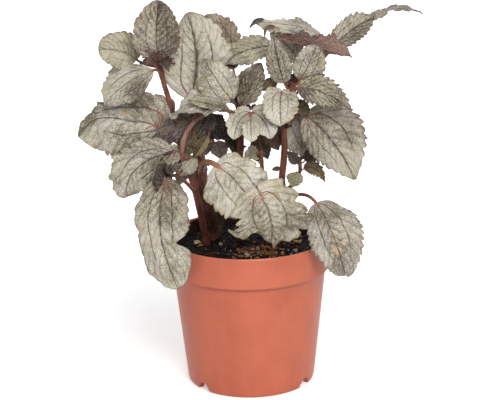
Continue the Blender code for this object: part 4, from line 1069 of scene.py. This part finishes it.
def addBlade(shape, midrib, row):
    face, fold, width = Vector(row["face"]).normalized(), math.radians(row["fold"] * 1.7), row["width"] * mm
    length = sum((bezier(midrib, (step + 1) / 8) - bezier(midrib, step / 8)).length for step in range(8))
    rows = max(12, min(120, int(length / (leafForm["rowStep"] * mm))))
    columns = 2 * max(5, min(34, int(width / 2 / (leafForm["columnStep"] * mm))))
    uvLayer = shape.loops.layers.uv.get("leafPlace") or shape.loops.layers.uv.new("leafPlace")
    floats = shape.verts.layers.float
    puffLayer, paintedShadingLayer, driedLayer = (floats.get(name) or floats.new(name) for name in bladeMarks)
    made = bmesh.ops.create_grid(shape, x_segments=columns, y_segments=rows, size=1.0)["verts"]
    faces = {part for vert in made for part in vert.link_faces}
    size = min(1.0, length / (leafForm["fullSize"] * mm))
    phase = (midrib[0].x * 91.7 + midrib[2].z * 53.1) % 1.0
    places = {}
    rowFrames = {}
    for vert in made:
        across, along = vert.co.x, (vert.co.y + 1) / 2
        right = across > 0
        fromRib = abs(across)
        key = round(along, 5)
        if key not in rowFrames:
            ahead = heading(midrib, along)
            side = ahead.cross(face).normalized()
            halves = halfWidth(along ** (1 + row["skew"]), row), halfWidth(along ** (1 - row["skew"]), row)
            rowFrames[key] = (bezier(midrib, along), ahead, side, side.cross(ahead), halves)
        centre, ahead, side, up, halves = rowFrames[key]
        half = halves[right] * (1 + (row["lean"] if right else -row["lean"]))

        # the margin: ragged, toothed and notched
        edgeShare = smoothStep(leafForm["marginFrom"], 1.0, fromRib)
        marginAlong = along * length / (leafForm["raggedSpan"] * mm)
        marginPlace = Vector((marginAlong, 7.3 if right else 2.1, phase * 40))
        ragged = row["jag"] * (noise.noise(marginPlace) * 1.6 + 0.8 * noise.noise(marginPlace * 2.7))
        beat = (along * row["teeth"] + phase * (0.7 if right else 0.3)) % 1.0
        tooth = (toothReach(beat, row["sharp"]) - 0.5) * row["toothDepth"] * leafForm["toothLength"]
        tooth *= min(1.0, 5 * along, 9 * (1.02 - along))
        reach = half * fromRib * (1 + edgeShare * (tooth + ragged))
        notchSide, notchAt, notchDepth, notchReach = row["notch"]
        if notchSide * across > 0:
            reach *= 1 - notchDepth * fromRib * math.exp(-(((along - notchAt) / notchReach) ** 2))

        # the blade, folded along the midrib and curled at the margin
        base = centre + side * math.copysign(reach, across)
        turn = fold + row["curl"] * 1.6 * fromRib
        base += up * reach * math.tan(max(-0.9, min(0.9, turn)))
        base += ahead * half * edgeShare * tooth * 0.8 * row["sharp"]
        base -= ahead * (row["heart"] * width / 2 * fromRib**1.4 * (1 - smoothStep(0.0, 0.42, along)))

        # waves, crinkles, then quilting with its grooves
        bend = math.sin(2 * math.pi * (1.9 * along + phase + (0.37 if right else 0.0)))
        bend += 0.5 * math.sin(2 * math.pi * (4.3 * along + 2.2 * phase + (0.21 if right else 0.0)))
        loose = min(1.0, 5 * along)
        lift = row["wave"] * leafForm["waveHeight"] * mm * fromRib**1.6 * bend * loose
        for height, extent, least in leafForm["crinkles"]:
            crease = height * mm * noise.noise(base / (extent * mm)) * (least + fromRib)
            lift += row["crinkle"] * crease * loose
        near, far = noise.voronoi(base / (row["cells"] * mm))[0][:2]
        puff = smoothStep(0.0, 0.50, far - near)
        warp = 1 - fromRib**4
        ribAt = row["drift"] * smoothStep(0.35, 0.9, along)
        veinAcross = (across - ribAt) / (1 - ribAt if across > ribAt else 1 + ribAt)
        veinAcross += 0.035 * warp * noise.noise(base / 0.006)
        veinAlong = along + 0.020 * warp * noise.noise(base / 0.007 + Vector((7, 3, 1)))
        groove = veinDepth(abs(veinAcross), veinAlong)
        puffed = leafForm["puffHeight"] * (puff - 0.5) - leafForm["grooveDepth"] * groove
        lift += size * row["quilt"] * mm * puffed * smoothStep(0.0, 0.08, along)
        vert.co = base + up * lift

        # what the leaf's material reads
        vert[puffLayer] = puff * (1 - 0.6 * groove)
        # painted light and shade: a lighter or darker half and tip, standing in for how light falls on the
        # blade
        paintedShadingHere = row["tones"][0 if right else 1] * smoothStep(0.0, 0.15, fromRib)
        vert[paintedShadingLayer] = paintedShadingHere + row["tones"][2] * (2 * along - 1)
        for spotAlong, spotAcross, spotSize in row["dried"]:
            further, aside = (along - spotAlong) * length * 0.7, (across - spotAcross) * half
            away = math.hypot(further, aside) / (spotSize * mm)
            away *= 1 + 0.5 * noise.noise(base / 0.003)
            vert[driedLayer] = max(vert[driedLayer], 0.75 - 0.75 * smoothStep(0.6, 1.2, away))
        places[vert] = ((veinAcross + 1) / 2, veinAlong)
    for part in faces:
        for loop in part.loops:
            loop[uvLayer].uv = places[loop.vert]

    # the underside, one thickness down
    shape.normal_update()
    thick = leafForm["thickness"] * mm * max(size, 0.5)
    sink = {vert: vert.normal.copy() for vert in made}
    geometry = list(faces) + list({edge for part in faces for edge in part.edges}) + list(made)
    bmesh.ops.extrude_face_region(shape, geom=geometry, use_keep_orig=True)
    for vert in made:
        vert.co -= sink[vert] * thick
    bmesh.ops.reverse_faces(shape, faces=list(faces))
    for part in faces:
        part.material_index = 1


def buildLeaf(name, row, materials):
    own = row[-1] if isinstance(row[-1], dict) else {}
    row = {**plainTraits, **dict(zip(leafColumns, row)), **own}
    base, middle, tip = (Vector(row[key]) * mm for key in ("start", "middle", "end"))
    face, radius = Vector(row["face"]).normalized(), row["petiole"] * mm
    midrib = bowed(base, middle, tip)
    shape = bmesh.new()
    addBlade(shape, midrib, row)

    # the petiole grows out of the stem's skin
    if "root" in row:
        root, sunk = Vector(row["root"]) * mm, 0.0
    else:
        root, _, sunk = stemAt(row["stem"], row["height"] * mm)
    startAlong = heading(midrib, 0.0)
    arrival = base - startAlong * (base - root).length * 0.35
    start = root + (arrival - root).normalized() * sunk * 0.5
    controls = (start, start.lerp(arrival, 0.5), arrival, base)
    steps = leafForm["petioleSteps"]
    centres = [bezier(controls, step / steps) for step in range(steps)]
    radii = [radius * (1.12 - 0.25 * step / steps) for step in range(steps)]

    # the midrib stands out under the blade
    swell = 0.9 * row["quilt"] * min(1.0, (tip - base).length / (leafForm["fullSize"] * mm))
    for step in range(leafForm["midribSteps"]):
        share = leafForm["midribReach"] * step / (leafForm["midribSteps"] - 1)
        ahead = heading(midrib, share)
        down = ahead.cross(face).normalized().cross(ahead)
        thin = radius * 0.87 * (1 - 0.8 * share**0.7) * (1 - 0.55 * smoothStep(0.0, 0.12, share))
        under = 0.25 + swell * smoothStep(0.0, 0.1, share)
        centres.append(bezier(midrib, share) - down * (0.8 * thin + under * mm))
        radii.append(max(thin, leafForm["thinnest"] * mm))
    addTube(shape, centres, radii, leafForm["petioleSides"], startAlong.cross(face).normalized(), 2)

    looks = [materials[row[key]] for key in ("look", "back", "petioleLook")]
    if name in slotOf:
        finishPiece(name + "_grown", shape, looks, name, 80)
    else:
        finishPiece(name, shape, looks, None, 80)


def buildBuds(name, row, materials, dice):
    stem, height, count, length, spread, look = row
    where, along, radius = stemAt(stem, height * mm)
    shape = bmesh.new()
    for number in range(count):
        turn = 2 * math.pi * (number / count + 0.06 * dice.uniform(-1, 1))
        out = Vector((math.cos(turn), math.sin(turn), 0))
        tilt = math.radians(spread * dice.uniform(0.45, 1.15))
        way = (along * math.cos(tilt) + out * math.sin(tilt)).normalized()
        reach = length * dice.uniform(0.6, 1.2) * mm
        start = where + out * radius * 0.5
        middle = start + way * reach * 0.5
        tip = start + way * reach + Vector((0, 0, dice.uniform(-0.35, 0.15) * reach))
        face = (along - way * along.dot(way)).normalized() - out * 0.2
        width, fold = length * dice.uniform(0.38, 0.6), dice.uniform(12, 38)
        leaf = {**plainTraits, **budForm, "width": width, "face": face, "fold": fold}
        addBlade(shape, bowed(start, middle, tip), leaf)
    looks = [materials[look], materials["maroonBack"]]
    finishPiece(name, shape, looks, None, 80)


buildPot(makePotMaterial())
print("pot moulded")
soilMaterials = {name: makeSoilMaterial(name, *row) for name, row in soilLooks.items()}
buildSoil(soilMaterials["pottingSoil"])
crumbDice = random.Random(soil["crumbSeed"])
for name, row in crumbs.items():
    scatterCrumbs(name, row, soilMaterials, crumbDice)
scatterFibres(soilMaterials["redFibre"], crumbDice)
buildLitter(soilMaterials)
print("soil filled")
plantMaterials = {**makeLeafMaterials(), **makeStemMaterials()}
for name in stems:
    buildStem(name, plantMaterials)
print("stems grown")
for name, row in {**leaves, **innerLeaves}.items():
    buildLeaf(name, row, plantMaterials)
budDice = random.Random(budSeed)
for name, row in buds.items():
    buildBuds(name, row, plantMaterials, budDice)
print("leaves grown:", len(leaves) + len(innerLeaves), "and", len(buds), "clusters of buds")
